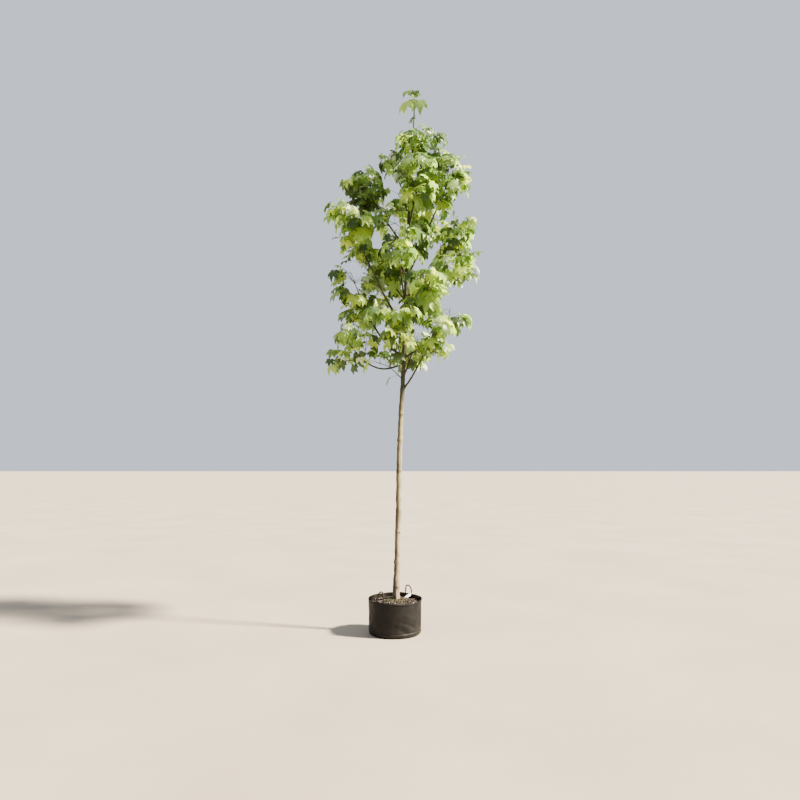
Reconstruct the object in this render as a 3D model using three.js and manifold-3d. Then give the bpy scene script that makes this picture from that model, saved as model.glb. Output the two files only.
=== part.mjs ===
// A container-grown maple sapling, five metres tall. Its slim trunk leaves the soil of a grow bag with
// two rope handles, stands clear for two metres and then runs up through an open crown. Each bough is a
// tapering limb with flat ends, and carries one mass of foliage: a stem that goes on from the bough's
// end, twigs in opposite pairs and three-lobed leaves, all fused into one solid that keeps to its own
// share of the crown.
//
// Millimetres and degrees. +Z is up, the bag stands on Z = 0, +X is to the viewer's right and -Y faces
// the viewer.

import * as THREE from "three";
import Module from "manifold-3d";

const wasm = await Module();
wasm.setup();

// Driving dimensions
const GAP = 0.3; // left between pieces that touch

const BAG = {
  radius: 240,
  height: 330,
  wall: 3,
  corner: 26, // radius of the rounded edge under the wall
  cornerSteps: 2,
  hem: 20, // depth of the turned hem
  hemProud: 2,
  frontDip: 14, // how far the hem hangs lower at the front
  sides: 30,
};
const SOIL = { edge: 285, crest: 315, crestRadius: 64 };
const HANDLE = { rope: 11, span: 68, rise: 86, lean: 16, sides: 6, steps: 14 };
const HANDLE_AZIMUTHS = { handle_back: 55, handle_front: 235 };
const LABEL = { length: 64, width: 25, thickness: 1.2, azimuth: 52, fromWall: 46, tilt: 16, lean: 38 };

const TRUNK = {
  top: 4560, // where the leader shoot's foliage begins
  leaderTip: 4966,
  radius: 30,
  tipRadius: 3.5,
  taper: 0.8,
  flare: 7, // extra radius at the soil
  flareReach: 55,
  lean: 0.0375, // towards +X
  bow: 13,
  sway: 5,
  swayTurns: 2.5,
  sides: 9,
  steps: 18,
};

const BOUGH = { tipRadius: 3.4, radiusPerLength: 0.0077, sides: 5, stepLength: 130 };
const STEM = { sides: 3, stepLength: 120 };
const TWIG = {
  pairSpacing: 154,
  firstShare: 0.1,
  lastShare: 0.8,
  length: 235,
  shorten: 0.45, // share of its length that a twig at the stem's tip has lost
  lengthSpread: 0.25,
  fork: 52,
  forkSpread: 10,
  turnSpread: 24,
  lift: 0.22,
  baseRadius: 3.2,
  tipRadius: 2.8,
  sides: 3,
};
const LEAF = {
  length: 194, // stalk and blade
  sizeSpread: 0.15,
  thickness: 3.6,
  offset: 0.5, // from the twig's own line to the leaf's root
  reach: 0.9, // how far a stalk leans out of its twig's line, as a share of a right angle
  pitch: -40,
  pitchSpread: 26,
  roll: 26,
  swing: 26,
  tries: 7,
  pairLength: 200, // a shoot longer than this carries a pair half way along
};
// The leader shoot's leaves: their heights, the ways they point, their sizes as a share of the others',
// and how much higher they are held.
const LEADER_LEAVES = [
  { height: 4580, azimuth: 180, size: 0.74, pitch: -16 },
  { height: 4584, azimuth: 236, size: 0.74, pitch: -20 },
  { height: 4588, azimuth: 300, size: 0.74, pitch: -20 },
  { height: 4592, azimuth: 90, size: 0.74, pitch: -16 },
  { height: 4626, azimuth: 345, size: 0.95, pitch: 18 },
  { height: 4726, azimuth: 205, size: 0.46, pitch: 0 },
  { height: 4868, azimuth: 184, size: 0.78, pitch: 0 },
  { height: 4874, azimuth: 350, size: 0.78, pitch: 0 },
  { height: 4950, azimuth: 178, size: 0.62, pitch: 44 },
  { height: 4954, azimuth: 320, size: 0.5, pitch: 30 },
  { height: 4957, azimuth: 70, size: 0.46, pitch: 30 },
];
const SPACE_MARGIN = 1; // from the border between two masses
const LEADER_SEED = 26;
const GUARD = { scale: 1.04, thickness: 8 }; // a leaf's size when it is tried against the rest
const BLADE_START = 0.15; // the share of a leaf's length that may lie along its own twig

// Where each bough leaves the trunk, which way it points (0 is +X and 90 is away from the viewer), how
// far its tip is out and up from there, how late it turns up (bend) and hangs (sag), the share of it that
// stays bare, and the seed of its foliage. One with no bare share is a spur: its foliage begins at the
// trunk.
const BOUGHS = {
  low_right: { height: 2240, azimuth: 352, reach: 340, rise: 640, bend: 1.3, bare: 0.42, seed: 27 },
  low_back: { height: 2350, azimuth: 72, reach: 460, rise: 470, bend: 1.2, bare: 0.3, seed: 1 },
  low_front: { height: 2400, azimuth: 258, reach: 420, rise: 420, bend: 1.2, bare: 0.3, seed: 2 },
  low_left: { height: 2480, azimuth: 184, reach: 570, rise: 270, bend: 2, sag: 100, bare: 0.5, seed: 3 },
  right_low: { height: 2530, azimuth: 18, reach: 490, rise: 390, bend: 1.2, bare: 0.4, seed: 4 },
  left_rise: { height: 2560, azimuth: 160, reach: 530, rise: 800, bend: 1.8, bare: 0.4, seed: 5 },
  front_right: { height: 2690, azimuth: 300, reach: 460, rise: 480, bend: 1.2, bare: 0.3, seed: 6 },
  left_long: { height: 2780, azimuth: 198, reach: 580, rise: 1060, bend: 1.15, bare: 0.45, seed: 34 },
  back_right: { height: 2830, azimuth: 55, reach: 500, rise: 460, bend: 1.2, bare: 0.3, seed: 8 },
  right_mid: { height: 2810, azimuth: 342, reach: 545, rise: 560, bend: 1.1, bare: 0.45, seed: 36 },
  front_mid: { height: 3020, azimuth: 258, reach: 460, rise: 520, bend: 1.2, bare: 0.3, seed: 10 },
  back_left: { height: 3060, azimuth: 118, reach: 500, rise: 480, bend: 1.2, bare: 0.3, seed: 11 },
  right_wide: { height: 3080, azimuth: 14, reach: 530, rise: 690, bend: 1.2, bare: 0.4, seed: 66 },
  right_tall: { height: 3240, azimuth: 338, reach: 450, rise: 930, bend: 1, bare: 0.52, seed: 40 },
  left_inner: { height: 3290, azimuth: 222, reach: 330, rise: 420, bend: 1.2, bare: 0.3, seed: 14 },
  left_high: { height: 3520, azimuth: 172, reach: 450, rise: 690, bend: 1.1, bare: 0.45, seed: 15 },
  back_high: { height: 3580, azimuth: 84, reach: 370, rise: 460, bend: 1.2, bare: 0.3, seed: 16 },
  front_high: { height: 3720, azimuth: 288, reach: 350, rise: 430, bend: 1.2, bare: 0.3, seed: 17 },
  right_top: { height: 3960, azimuth: 18, reach: 280, rise: 430, bend: 1.1, bare: 0.3, seed: 18 },
  left_top: { height: 3950, azimuth: 205, reach: 200, rise: 360, bend: 1.2, bare: 0.3, seed: 19 },
  inner_low: { height: 2330, azimuth: 205, reach: 150, rise: 120, bend: 1.1, bare: 0, seed: 20 },
  inner_back: { height: 3000, azimuth: 330, reach: 170, rise: 230, bend: 1.1, bare: 0, seed: 21 },
  inner_front: { height: 3420, azimuth: 350, reach: 180, rise: 230, bend: 1.1, bare: 0, seed: 22 },
  inner_high: { height: 3860, azimuth: 130, reach: 160, rise: 230, bend: 1.1, bare: 0, seed: 23 },
  back_top: { height: 4200, azimuth: 112, reach: 170, rise: 220, bend: 1.2, bare: 0, seed: 24 },
  front_top: { height: 4230, azimuth: 280, reach: 160, rise: 190, bend: 1.2, bare: 0, seed: 25 },
};

const UP = new THREE.Vector3(0, 0, 1);
const radians = THREE.MathUtils.degToRad;

// The way out from the trunk at an azimuth, and the level way across it.
const outwardAt = (azimuth) => new THREE.Vector3(Math.cos(radians(azimuth)), Math.sin(radians(azimuth)), 0);
const acrossAt = (azimuth) => outwardAt(azimuth + 90);

// A repeatable run of numbers from 0 to 1: each is worked out from the one before by a fixed rule.
function seeded(seed) {
  let state = Math.imul(seed + 1, 2654435761) >>> 0;
  return () => {
    state = (Math.imul(state, 1664525) + 1013904223) >>> 0;
    return state / 4294967296;
  };
}

const spread = (random, amount) => (2 * random() - 1) * amount;

// The trunk's line leans to the right, bows a little and sways, up to the tip of the leader shoot.
class TrunkLine extends THREE.Curve {
  getPoint(share, target = new THREE.Vector3()) {
    const climb = TRUNK.leaderTip - SOIL.crest - GAP;
    const bow = TRUNK.bow * Math.sin(Math.PI * share);
    const sway = TRUNK.sway * Math.sin(TRUNK.swayTurns * 2 * Math.PI * share);
    return target.set(7 + TRUNK.lean * climb * share - bow + sway, 0, SOIL.crest + GAP + climb * share);
  }

  // Its cuts are level.
  getTangent(share, target = new THREE.Vector3()) {
    return target.copy(UP);
  }
}

// A bough's line goes evenly out and ever more steeply up, and a sag lowers its middle.
class BoughLine extends THREE.Curve {
  constructor(foot, { azimuth, reach, rise, bend, sag = 0 }) {
    super();
    this.foot = foot;
    this.outward = outwardAt(azimuth);
    this.across = acrossAt(azimuth);
    Object.assign(this, { reach, rise, bend, sag });
  }

  getPoint(share, target = new THREE.Vector3()) {
    const lift = this.rise * share ** this.bend - this.sag * Math.sin(Math.PI * share);
    return target.copy(this.foot).addScaledVector(this.outward, this.reach * share).addScaledVector(UP, lift);
  }
}

const trunkLine = new TrunkLine();
trunkLine.across = new THREE.Vector3(0, 1, 0);

const trunkShare = (height) => (height - SOIL.crest - GAP) / (TRUNK.leaderTip - SOIL.crest - GAP);

function trunkRadius(share) {
  const wood = TRUNK.tipRadius + (TRUNK.radius - TRUNK.tipRadius) * Math.max(1 - share, 0) ** TRUNK.taper;
  const aboveSoil = share * (TRUNK.leaderTip - SOIL.crest);
  return wood + TRUNK.flare * Math.exp(-aboveSoil / TRUNK.flareReach);
}

// A solid from a closed geometry whose faces share their corners.
function solidOf(geometry) {
  return new wasm.Manifold(
    new wasm.Mesh({
      numProp: 3,
      vertProperties: new Float32Array(geometry.getAttribute("position").array),
      triVerts: new Uint32Array(geometry.index.array),
    }),
  );
}

// The geometry of a finished solid.
function geometryOf(solid) {
  const { vertProperties, triVerts } = solid.getMesh();
  return new THREE.BufferGeometry()
    .setAttribute("position", new THREE.BufferAttribute(vertProperties, 3))
    .setIndex(new THREE.BufferAttribute(triVerts, 1));
}

// A tapering limb with flat ends: rings of corners along a line between two shares of its length.
function limbGeometry(line, from, to, radiusAt, sides, steps) {
  const corners = [];
  const faces = [];
  for (let step = 0; step <= steps; step++) {
    const share = THREE.MathUtils.lerp(from, to, step / steps);
    const middle = line.getPointAt(share);
    const other = new THREE.Vector3().crossVectors(line.getTangentAt(share), line.across);
    for (let side = 0; side < sides; side++) {
      const angle = (2 * Math.PI * side) / sides;
      const corner = middle.clone().addScaledVector(line.across, radiusAt(share) * Math.cos(angle));
      corners.push(corner.addScaledVector(other, radiusAt(share) * Math.sin(angle)));
    }
  }
  for (let step = 0; step < steps; step++) {
    for (let side = 0; side < sides; side++) {
      const [near, next] = [side, (side + 1) % sides].map((corner) => step * sides + corner);
      faces.push(near, next, next + sides, near, next + sides, near + sides);
    }
  }
  const last = steps * sides;
  for (let side = 1; side < sides - 1; side++) {
    faces.push(0, side + 1, side, last, last + side, last + side + 1);
  }
  return new THREE.BufferGeometry().setFromPoints(corners).setIndex(faces);
}

// One leaf as a thin solid: six outline points round a thicker middle. The stalk's end and the tip lie on
// the forward line, two side lobes spread beside it, and the blade hangs down from its middle.
const LEAF_OUTLINE = [
  { side: 0, forward: 0, hang: 0 },
  { side: 0.4, forward: 0.5, hang: 0.12 },
  { side: 0.15, forward: 0.68, hang: 0.06 },
  { side: 0, forward: 1, hang: 0.2 },
  { side: -0.15, forward: 0.68, hang: 0.06 },
  { side: -0.4, forward: 0.5, hang: 0.12 },
];
const LEAF_MIDDLE = 0.36;

function leafSolid(leaf, { start = 0, scale = 1, thickness = LEAF.thickness } = {}) {
  const { root, forward, normal, length } = leaf;
  const side = new THREE.Vector3().crossVectors(forward, normal);
  const middle = root.clone().addScaledVector(forward, LEAF_MIDDLE * length);
  const place = (outline) =>
    root
      .clone()
      .addScaledVector(side, outline.side * length)
      .addScaledVector(forward, Math.max(outline.forward, start) * length)
      .addScaledVector(normal, -outline.hang * length)
      .sub(middle)
      .multiplyScalar(scale)
      .add(middle);
  const rim = LEAF_OUTLINE.map(place);
  const corners = [...rim, ...[0.5, -0.5].map((h) => middle.clone().addScaledVector(normal, h * thickness))];
  const [top, bottom] = [rim.length, rim.length + 1];
  const faces = rim.flatMap((_, i) => {
    const next = (i + 1) % rim.length;
    return [i, next, top, next, i, bottom];
  });
  const geometry = new THREE.BufferGeometry().setFromPoints(corners).setIndex(faces);
  return solidOf(geometry);
}

// The bag: a turned wall and floor with a rounded edge, a turned hem, and a rim that hangs lower at the
// front.
function bagGeometry() {
  const { radius, height, wall, corner, cornerSteps, hem, hemProud, frontDip, sides } = BAG;
  const rounded = (bend, inset) =>
    Array.from({ length: cornerSteps + 1 }, (_, i) => {
      const angle = (Math.PI / 2) * (i / cornerSteps);
      const across = radius - corner + bend * Math.sin(angle);
      return new THREE.Vector2(across, inset + bend * (1 - Math.cos(angle)));
    });
  const profile = [
    new THREE.Vector2(0, 0),
    ...rounded(corner, 0),
    new THREE.Vector2(radius, height - hem),
    new THREE.Vector2(radius + hemProud, height - hem),
    new THREE.Vector2(radius + hemProud, height),
    new THREE.Vector2(radius - wall, height),
    ...rounded(corner - wall, wall).reverse(),
    new THREE.Vector2(0, wall),
  ];
  const bag = new THREE.LatheGeometry(profile, sides).rotateX(Math.PI / 2);
  const position = bag.getAttribute("position");
  for (let i = 0; i < position.count; i++) {
    if (position.getZ(i) < height - hem) continue;
    const towardsViewer = 0.5 - position.getY(i) / (2 * radius);
    position.setZ(i, position.getZ(i) - frontDip * towardsViewer);
  }
  return bag;
}

// The height of the soil's surface at a distance from the bag's middle: flat round the trunk, then an
// even fall.
function soilHeight(distance) {
  const fall = Math.max(distance - SOIL.crestRadius, 0) / (BAG.radius - BAG.wall - SOIL.crestRadius);
  return SOIL.crest - (SOIL.crest - SOIL.edge) * fall;
}

// The soil and roots that fill the bag, a gap clear of its wall and floor.
function soilGeometry() {
  const outer = BAG.radius - BAG.wall - GAP;
  const bend = BAG.corner - BAG.wall - GAP;
  const floor = BAG.wall + GAP;
  const foot = Array.from({ length: BAG.cornerSteps + 1 }, (_, i) => {
    const angle = (Math.PI / 2) * (i / BAG.cornerSteps);
    return new THREE.Vector2(outer - bend + bend * Math.sin(angle), floor + bend * (1 - Math.cos(angle)));
  });
  const slope = [outer, SOIL.crestRadius].map(
    (distance) => new THREE.Vector2(distance, soilHeight(distance)),
  );
  const profile = [new THREE.Vector2(0, floor), ...foot, ...slope, new THREE.Vector2(0, SOIL.crest)];
  return new THREE.LatheGeometry(profile, BAG.sides).rotateX(Math.PI / 2);
}

// One rope handle: its two legs run down inside the wall to the soil, and its loop stands above the hem.
function handleGeometry(azimuth) {
  const half = HANDLE.rope / 2;
  const flat = Math.cos(Math.PI / BAG.sides); // the wall's sides lie this much nearer than its corners
  const legRadius = Math.sqrt(((BAG.radius - BAG.wall) * flat - GAP - half) ** 2 - (HANDLE.span / 2) ** 2);
  const rim = BAG.height - BAG.frontDip / 2;
  const foot = soilHeight(BAG.radius - BAG.wall) + 6;
  const top = rim + HANDLE.rise;
  const loop = [
    [1, foot, 0],
    [1, rim, 0],
    [0.94, rim + HANDLE.rise * 0.5, 0.3],
    [0.6, rim + HANDLE.rise * 0.88, 0.8],
    [0, top, 1],
  ];
  const points = [...loop, ...loop.slice(0, -1).reverse().map(([across, z, lean]) => [-across, z, lean])];
  const path = new THREE.CatmullRomCurve3(
    points.map(([across, z, lean]) =>
      outwardAt(azimuth)
        .multiplyScalar(legRadius - lean * HANDLE.lean)
        .addScaledVector(acrossAt(azimuth), (across * HANDLE.span) / 2)
        .setZ(z),
    ),
  );
  const ring = Array.from({ length: HANDLE.sides }, (_, i) => {
    const angle = (2 * Math.PI * i) / HANDLE.sides;
    return new THREE.Vector2(half * Math.cos(angle), half * Math.sin(angle));
  });
  return new THREE.ExtrudeGeometry(new THREE.Shape(ring), { steps: HANDLE.steps, extrudePath: path });
}

// The blank plant label: a thin plate that leans back, its lower edge a gap above the soil.
function labelMesh(material) {
  const plate = new THREE.Mesh(new THREE.BoxGeometry(LABEL.length, LABEL.thickness, LABEL.width), material);
  const leaning = new THREE.Group().add(plate);
  plate.rotation.x = -radians(LABEL.lean);
  leaning.rotation.set(0, -radians(LABEL.tilt), 0);
  const stand = outwardAt(LABEL.azimuth).multiplyScalar(BAG.radius - LABEL.fromWall);
  leaning.position.copy(stand);
  leaning.updateMatrixWorld(true);
  const corners = new THREE.BoxGeometry(LABEL.length, LABEL.thickness, LABEL.width).getAttribute("position");
  let clearance = Infinity;
  for (let i = 0; i < corners.count; i++) {
    const corner = new THREE.Vector3().fromBufferAttribute(corners, i).applyMatrix4(plate.matrixWorld);
    clearance = Math.min(clearance, corner.z - soilHeight(Math.hypot(corner.x, corner.y)));
  }
  leaning.position.z = GAP - clearance;
  plate.name = "label";
  return leaning;
}

const trunkSolid = solidOf(
  limbGeometry(trunkLine, 0, trunkShare(TRUNK.top), trunkRadius, TRUNK.sides, TRUNK.steps),
);
const trunkWithGap = solidOf(
  limbGeometry(trunkLine, 0, trunkShare(TRUNK.top), (s) => trunkRadius(s) + GAP, TRUNK.sides, TRUNK.steps),
);

// Each mass: the line that it grows along, the share of it where its stem begins, and the radius along it.
function massOf([name, bough]) {
  const line = new BoughLine(trunkLine.getPointAt(trunkShare(bough.height)), bough);
  const baseRadius = BOUGH.tipRadius + BOUGH.radiusPerLength * line.getLength();
  const radiusAt = (share) => BOUGH.tipRadius + (baseRadius - BOUGH.tipRadius) * (1 - share);
  return { name, line, bare: bough.bare, radiusAt, hasBough: bough.bare > 0, seed: bough.seed };
}
const leaderMass = {
  name: "leader",
  line: trunkLine,
  bare: trunkShare(TRUNK.top),
  radiusAt: trunkRadius,
  hasBough: false,
  seed: LEADER_SEED,
};
const masses = [...Object.entries(BOUGHS).map(massOf), leaderMass];

for (const mass of masses) {
  const { line, bare, radiusAt, hasBough } = mass;
  const length = line.getLength();
  const from = bare + GAP / length;
  mass.centre = line.getPointAt(bare + (1 - bare) * (mass === leaderMass ? 0.08 : 0.55));
  mass.stemFrom = from;
  mass.stemLength = (1 - from) * length;
  const stemSteps = Math.ceil(mass.stemLength / STEM.stepLength);
  mass.stem = solidOf(limbGeometry(line, from, 1, radiusAt, STEM.sides, stemSteps));
  if (hasBough) {
    const steps = Math.ceil((bare * length) / BOUGH.stepLength);
    mass.bough = solidOf(limbGeometry(line, 0, bare, radiusAt, BOUGH.sides, steps)).subtract(trunkWithGap);
  } else if (mass !== leaderMass) {
    mass.stem = mass.stem.subtract(trunkWithGap);
  }
}

// Whether a point lies nearer to this mass's centre than to any other's, with the margin.
function inSpace(mass, point) {
  return masses.every((other) => {
    if (other === mass) return true;
    const apart = 2 * mass.centre.distanceTo(other.centre);
    const nearer = point.distanceToSquared(other.centre) - point.distanceToSquared(mass.centre);
    return nearer / apart > SPACE_MARGIN;
  });
}

const cornersOf = (solid) => {
  const { vertProperties } = solid.getMesh();
  return Array.from({ length: vertProperties.length / 3 }, (_, i) =>
    new THREE.Vector3().fromArray(vertProperties, i * 3),
  );
};

// Whether a solid stays in its mass's space and clear of the limbs.
const fits = (mass, solid, limbs) =>
  cornersOf(solid).every((corner) => inSpace(mass, corner)) && solid.intersect(limbs).isEmpty();

// The twigs of a mass, in opposite pairs that turn a quarter from one pair to the next and shorten to the
// tip.
function twigsOf(mass) {
  const random = seeded(mass.seed);
  const pairs = Math.max(2, Math.round(mass.stemLength / TWIG.pairSpacing));
  const twigs = [];
  for (let pair = 0; pair < pairs; pair++) {
    const along = TWIG.firstShare + (TWIG.lastShare - TWIG.firstShare) * (pair / (pairs - 1));
    const share = mass.stemFrom + along * (1 - mass.stemFrom);
    const tangent = mass.line.getTangentAt(share);
    const other = new THREE.Vector3().crossVectors(mass.line.across, tangent);
    for (const way of [0, 180]) {
      const turn = radians(way + 90 * (pair + mass.seed) + spread(random, TWIG.turnSpread));
      const fork = radians(TWIG.fork + spread(random, TWIG.forkSpread));
      const length = TWIG.length * (1 - TWIG.shorten * along) * (1 + spread(random, TWIG.lengthSpread));
      const direction = tangent
        .clone()
        .multiplyScalar(Math.cos(fork))
        .addScaledVector(mass.line.across, Math.cos(turn) * Math.sin(fork))
        .addScaledVector(other, Math.sin(turn) * Math.sin(fork))
        .addScaledVector(UP, TWIG.lift)
        .normalize();
      const foot = mass.line.getPointAt(share);
      const tip = foot.clone().addScaledVector(direction, length);
      const line = new THREE.LineCurve3(foot, tip);
      line.across = new THREE.Vector3().crossVectors(direction, UP).normalize();
      twigs.push({ line });
    }
  }
  return twigs;
}

const twigRadius = (share) => TWIG.baseRadius + (TWIG.tipRadius - TWIG.baseRadius) * share;

// Where leaves stand on a shoot: a pair half way along, and at its tip one that goes on and a pair beside
// it.
function leafSites(line, from) {
  const length = (1 - from) * line.getLength();
  const sites = [];
  const pairAt = (share, turn) => {
    const tangent = line.getTangentAt(share);
    const other = new THREE.Vector3().crossVectors(line.across, tangent);
    for (const way of [0, 180]) {
      const angle = radians(turn + way);
      const out = line.across.clone().multiplyScalar(Math.cos(angle)).addScaledVector(other, Math.sin(angle));
      sites.push({ at: line.getPointAt(share), out: out.lerp(tangent, 1 - LEAF.reach).normalize() });
    }
  };
  if (length > LEAF.pairLength) pairAt(from + (1 - from) * 0.5, 90);
  pairAt(from + (1 - from) * (1 - 12 / length), 0);
  sites.push({ at: line.getPointAt(from + (1 - from) * (1 - 4 / length)), out: line.getTangentAt(1) });
  return sites;
}

const leaderSites = () =>
  LEADER_LEAVES.map(({ height, azimuth, size, pitch }) => ({
    at: trunkLine.getPointAt(trunkShare(height)),
    out: outwardAt(azimuth),
    size,
    pitch,
  }));

// A leaf at a site: its stalk goes out, and its blade tips down and lies with its upper side to the sky.
function leafAt(site, random) {
  const swing = radians(spread(random, LEAF.swing));
  const level = new THREE.Vector3(site.out.x, site.out.y, 0);
  if (level.length() < 0.2) level.set(Math.cos(7 * swing), Math.sin(7 * swing), 0);
  level.normalize().applyAxisAngle(UP, swing);
  const pitch = radians(LEAF.pitch + (site.pitch ?? 0) + spread(random, LEAF.pitchSpread));
  const forward = level.multiplyScalar(Math.cos(pitch)).addScaledVector(UP, Math.sin(pitch));
  const normal = UP.clone().addScaledVector(forward, -forward.dot(UP)).normalize();
  normal.applyAxisAngle(forward, radians(spread(random, LEAF.roll)));
  const length = LEAF.length * (site.size ?? 1) * (1 + spread(random, LEAF.sizeSpread));
  return { root: site.at.clone().addScaledVector(forward, LEAF.offset), forward, normal, length };
}

// One mass: its stem, and the twigs and leaves that fit its space and stay off every limb, fused into one
// solid. A twig that keeps no leaf is left out.
function massSolid(mass) {
  const random = seeded(100 + mass.seed);
  const boughs = masses.filter((m) => m.hasBough).map((m) => m.bough);
  const otherStems = masses.filter((m) => m !== mass).map((m) => m.stem);
  const otherLimbs = wasm.Manifold.union([trunkWithGap, ...boughs, ...otherStems]);
  const twigs = (mass === leaderMass ? [] : twigsOf(mass)).filter(({ line }) => {
    const guard = solidOf(limbGeometry(line, 0, 1, () => TWIG.baseRadius + 3, TWIG.sides, 1));
    return fits(mass, guard, otherLimbs);
  });
  const shoots = [
    { solid: mass.stem, sites: mass === leaderMass ? leaderSites() : leafSites(mass.line, mass.stemFrom) },
    ...twigs.map(({ line }) => ({
      solid: solidOf(limbGeometry(line, 0, 1, twigRadius, TWIG.sides, 1)),
      sites: leafSites(line, 0),
    })),
  ];
  const everyLimb = wasm.Manifold.union([otherLimbs, ...shoots.map(({ solid }) => solid)]);
  const leaves = [];
  const pieces = [mass.stem];
  for (const { solid, sites } of shoots) {
    const before = leaves.length;
    for (const site of sites) {
      const leaf = tryLeaf(mass, site, random, { otherLimbs, everyLimb, leaves });
      if (leaf) leaves.push(leaf);
    }
    if (leaves.length > before) pieces.push(solid);
  }
  return wasm.Manifold.union([...pieces, ...leaves]);
}

// A leaf at a site, held one way after another until it is clear of every limb and leaf, or none.
function tryLeaf(mass, site, random, { otherLimbs, everyLimb, leaves }) {
  for (let attempt = 0; attempt < LEAF.tries; attempt++) {
    const leaf = leafAt(site, random);
    const guard = leafSolid(leaf, GUARD);
    const blade = leafSolid(leaf, { ...GUARD, start: BLADE_START });
    if (!fits(mass, guard, otherLimbs) || !blade.intersect(everyLimb).isEmpty()) continue;
    if (leaves.every((other) => other.intersect(blade).isEmpty())) return leafSolid(leaf);
  }
  return null;
}

// Materials
const finish = (color, roughness) => new THREE.MeshStandardMaterial({ color, roughness, metalness: 0 });
const materials = {
  bark: finish(0x9a9478, 0.8),
  youngBark: finish(0x5c5b3a, 0.75),
  foliage: finish(0x86a83c, 0.55),
  bag: finish(0x37322d, 0.6),
  soil: finish(0x4a4030, 0.95),
  rope: finish(0x1e1a1b, 0.7),
  label: finish(0xf2eff0, 0.4),
};

const sapling = new THREE.Group();

function add(name, geometry, material) {
  const mesh = new THREE.Mesh(geometry, material);
  mesh.name = name;
  sapling.add(mesh);
}

add("bag", bagGeometry(), materials.bag);
add("soil", soilGeometry(), materials.soil);
for (const [name, azimuth] of Object.entries(HANDLE_AZIMUTHS)) {
  add(name, handleGeometry(azimuth), materials.rope);
}
sapling.add(labelMesh(materials.label));
add("trunk", geometryOf(trunkSolid), materials.bark);

for (const mass of masses) {
  if (mass.hasBough) add(`bough_${mass.name}`, geometryOf(mass.bough), materials.youngBark);
  add(`foliage_${mass.name}`, geometryOf(massSolid(mass)), materials.foliage);
}

export default sapling;
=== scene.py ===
"""Dresses a container-grown maple sapling: bark, twigs and five-lobed leaves over its limbs, and at its
foot a woven grow bag with soil, mulch, two rope handles and a blank label.

Metres and degrees. +Z is up, the bag stands on Z = 0, +X is to the viewer's right and -Y faces the
viewer. An azimuth of 0 points to +X and one of 90 away from the viewer.
"""

from collections import namedtuple
from types import SimpleNamespace as Sizes

import bpy
import numpy as np
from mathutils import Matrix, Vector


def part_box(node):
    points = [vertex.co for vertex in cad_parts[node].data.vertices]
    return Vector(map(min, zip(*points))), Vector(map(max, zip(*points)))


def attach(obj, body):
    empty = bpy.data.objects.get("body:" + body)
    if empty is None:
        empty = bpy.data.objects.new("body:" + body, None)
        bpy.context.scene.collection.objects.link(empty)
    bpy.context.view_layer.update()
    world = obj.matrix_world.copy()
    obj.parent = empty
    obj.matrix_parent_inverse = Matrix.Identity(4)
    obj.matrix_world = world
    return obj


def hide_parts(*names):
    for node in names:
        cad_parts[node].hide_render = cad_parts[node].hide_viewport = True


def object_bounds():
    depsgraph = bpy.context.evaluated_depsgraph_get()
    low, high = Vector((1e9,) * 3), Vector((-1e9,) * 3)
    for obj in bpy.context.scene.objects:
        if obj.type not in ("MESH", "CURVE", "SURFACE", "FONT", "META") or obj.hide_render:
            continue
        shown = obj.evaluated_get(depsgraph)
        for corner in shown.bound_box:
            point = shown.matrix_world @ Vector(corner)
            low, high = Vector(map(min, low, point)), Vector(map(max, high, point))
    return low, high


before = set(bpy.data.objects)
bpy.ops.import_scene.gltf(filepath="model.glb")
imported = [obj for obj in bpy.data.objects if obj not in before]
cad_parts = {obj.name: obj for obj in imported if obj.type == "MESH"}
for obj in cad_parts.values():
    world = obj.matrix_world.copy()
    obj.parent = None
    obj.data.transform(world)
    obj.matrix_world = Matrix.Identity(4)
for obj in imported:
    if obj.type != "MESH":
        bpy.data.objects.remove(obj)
cad_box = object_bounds()

# Driving dimensions, as the solids have them
GAP = 0.0003
BAG = Sizes(radius=0.24, height=0.33, wall=0.003, corner=0.026, hem=0.02, hem_proud=0.002, front_dip=0.014)
SOIL = Sizes(edge=0.285, crest=0.315, crest_radius=0.064)
HANDLE = Sizes(rope=0.011, span=0.068, rise=0.086, lean=0.016)
HANDLE_AZIMUTHS = {"handle_back": 55, "handle_front": 235}
LABEL = Sizes(length=0.064, width=0.025, thickness=0.0012, tilt=16, lean=38)
TRUNK = Sizes(
    top=4.56, leader_tip=4.966, foot=0.007, radius=0.030, tip_radius=0.0035, taper=0.8, flare=0.007,
    flare_reach=0.055, lean=0.0375, bow=0.013, sway=0.005, sway_turns=2.5,
)
LIMB = Sizes(tip_radius=0.0034, radius_per_length=0.0077)
TWIG = Sizes(
    pair_spacing=0.154, first_share=0.1, last_share=0.8, length=0.235, shorten=0.45, length_spread=0.25,
    fork=52, fork_spread=10, turn_spread=24, lift=0.22, arch=0.03, base_radius=0.0032, clearance=0.0062,
)
LEAF = Sizes(length=0.194, size_spread=0.15, reach=0.9, pitch=-40, pitch_spread=26, roll=26, swing=26)
MASS_CORE = 0.55  # how far along its stem the middle of a mass lies
LEADER_CORE = 0.08
SPACE_MARGIN = 0.001  # from the border between two masses

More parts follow.
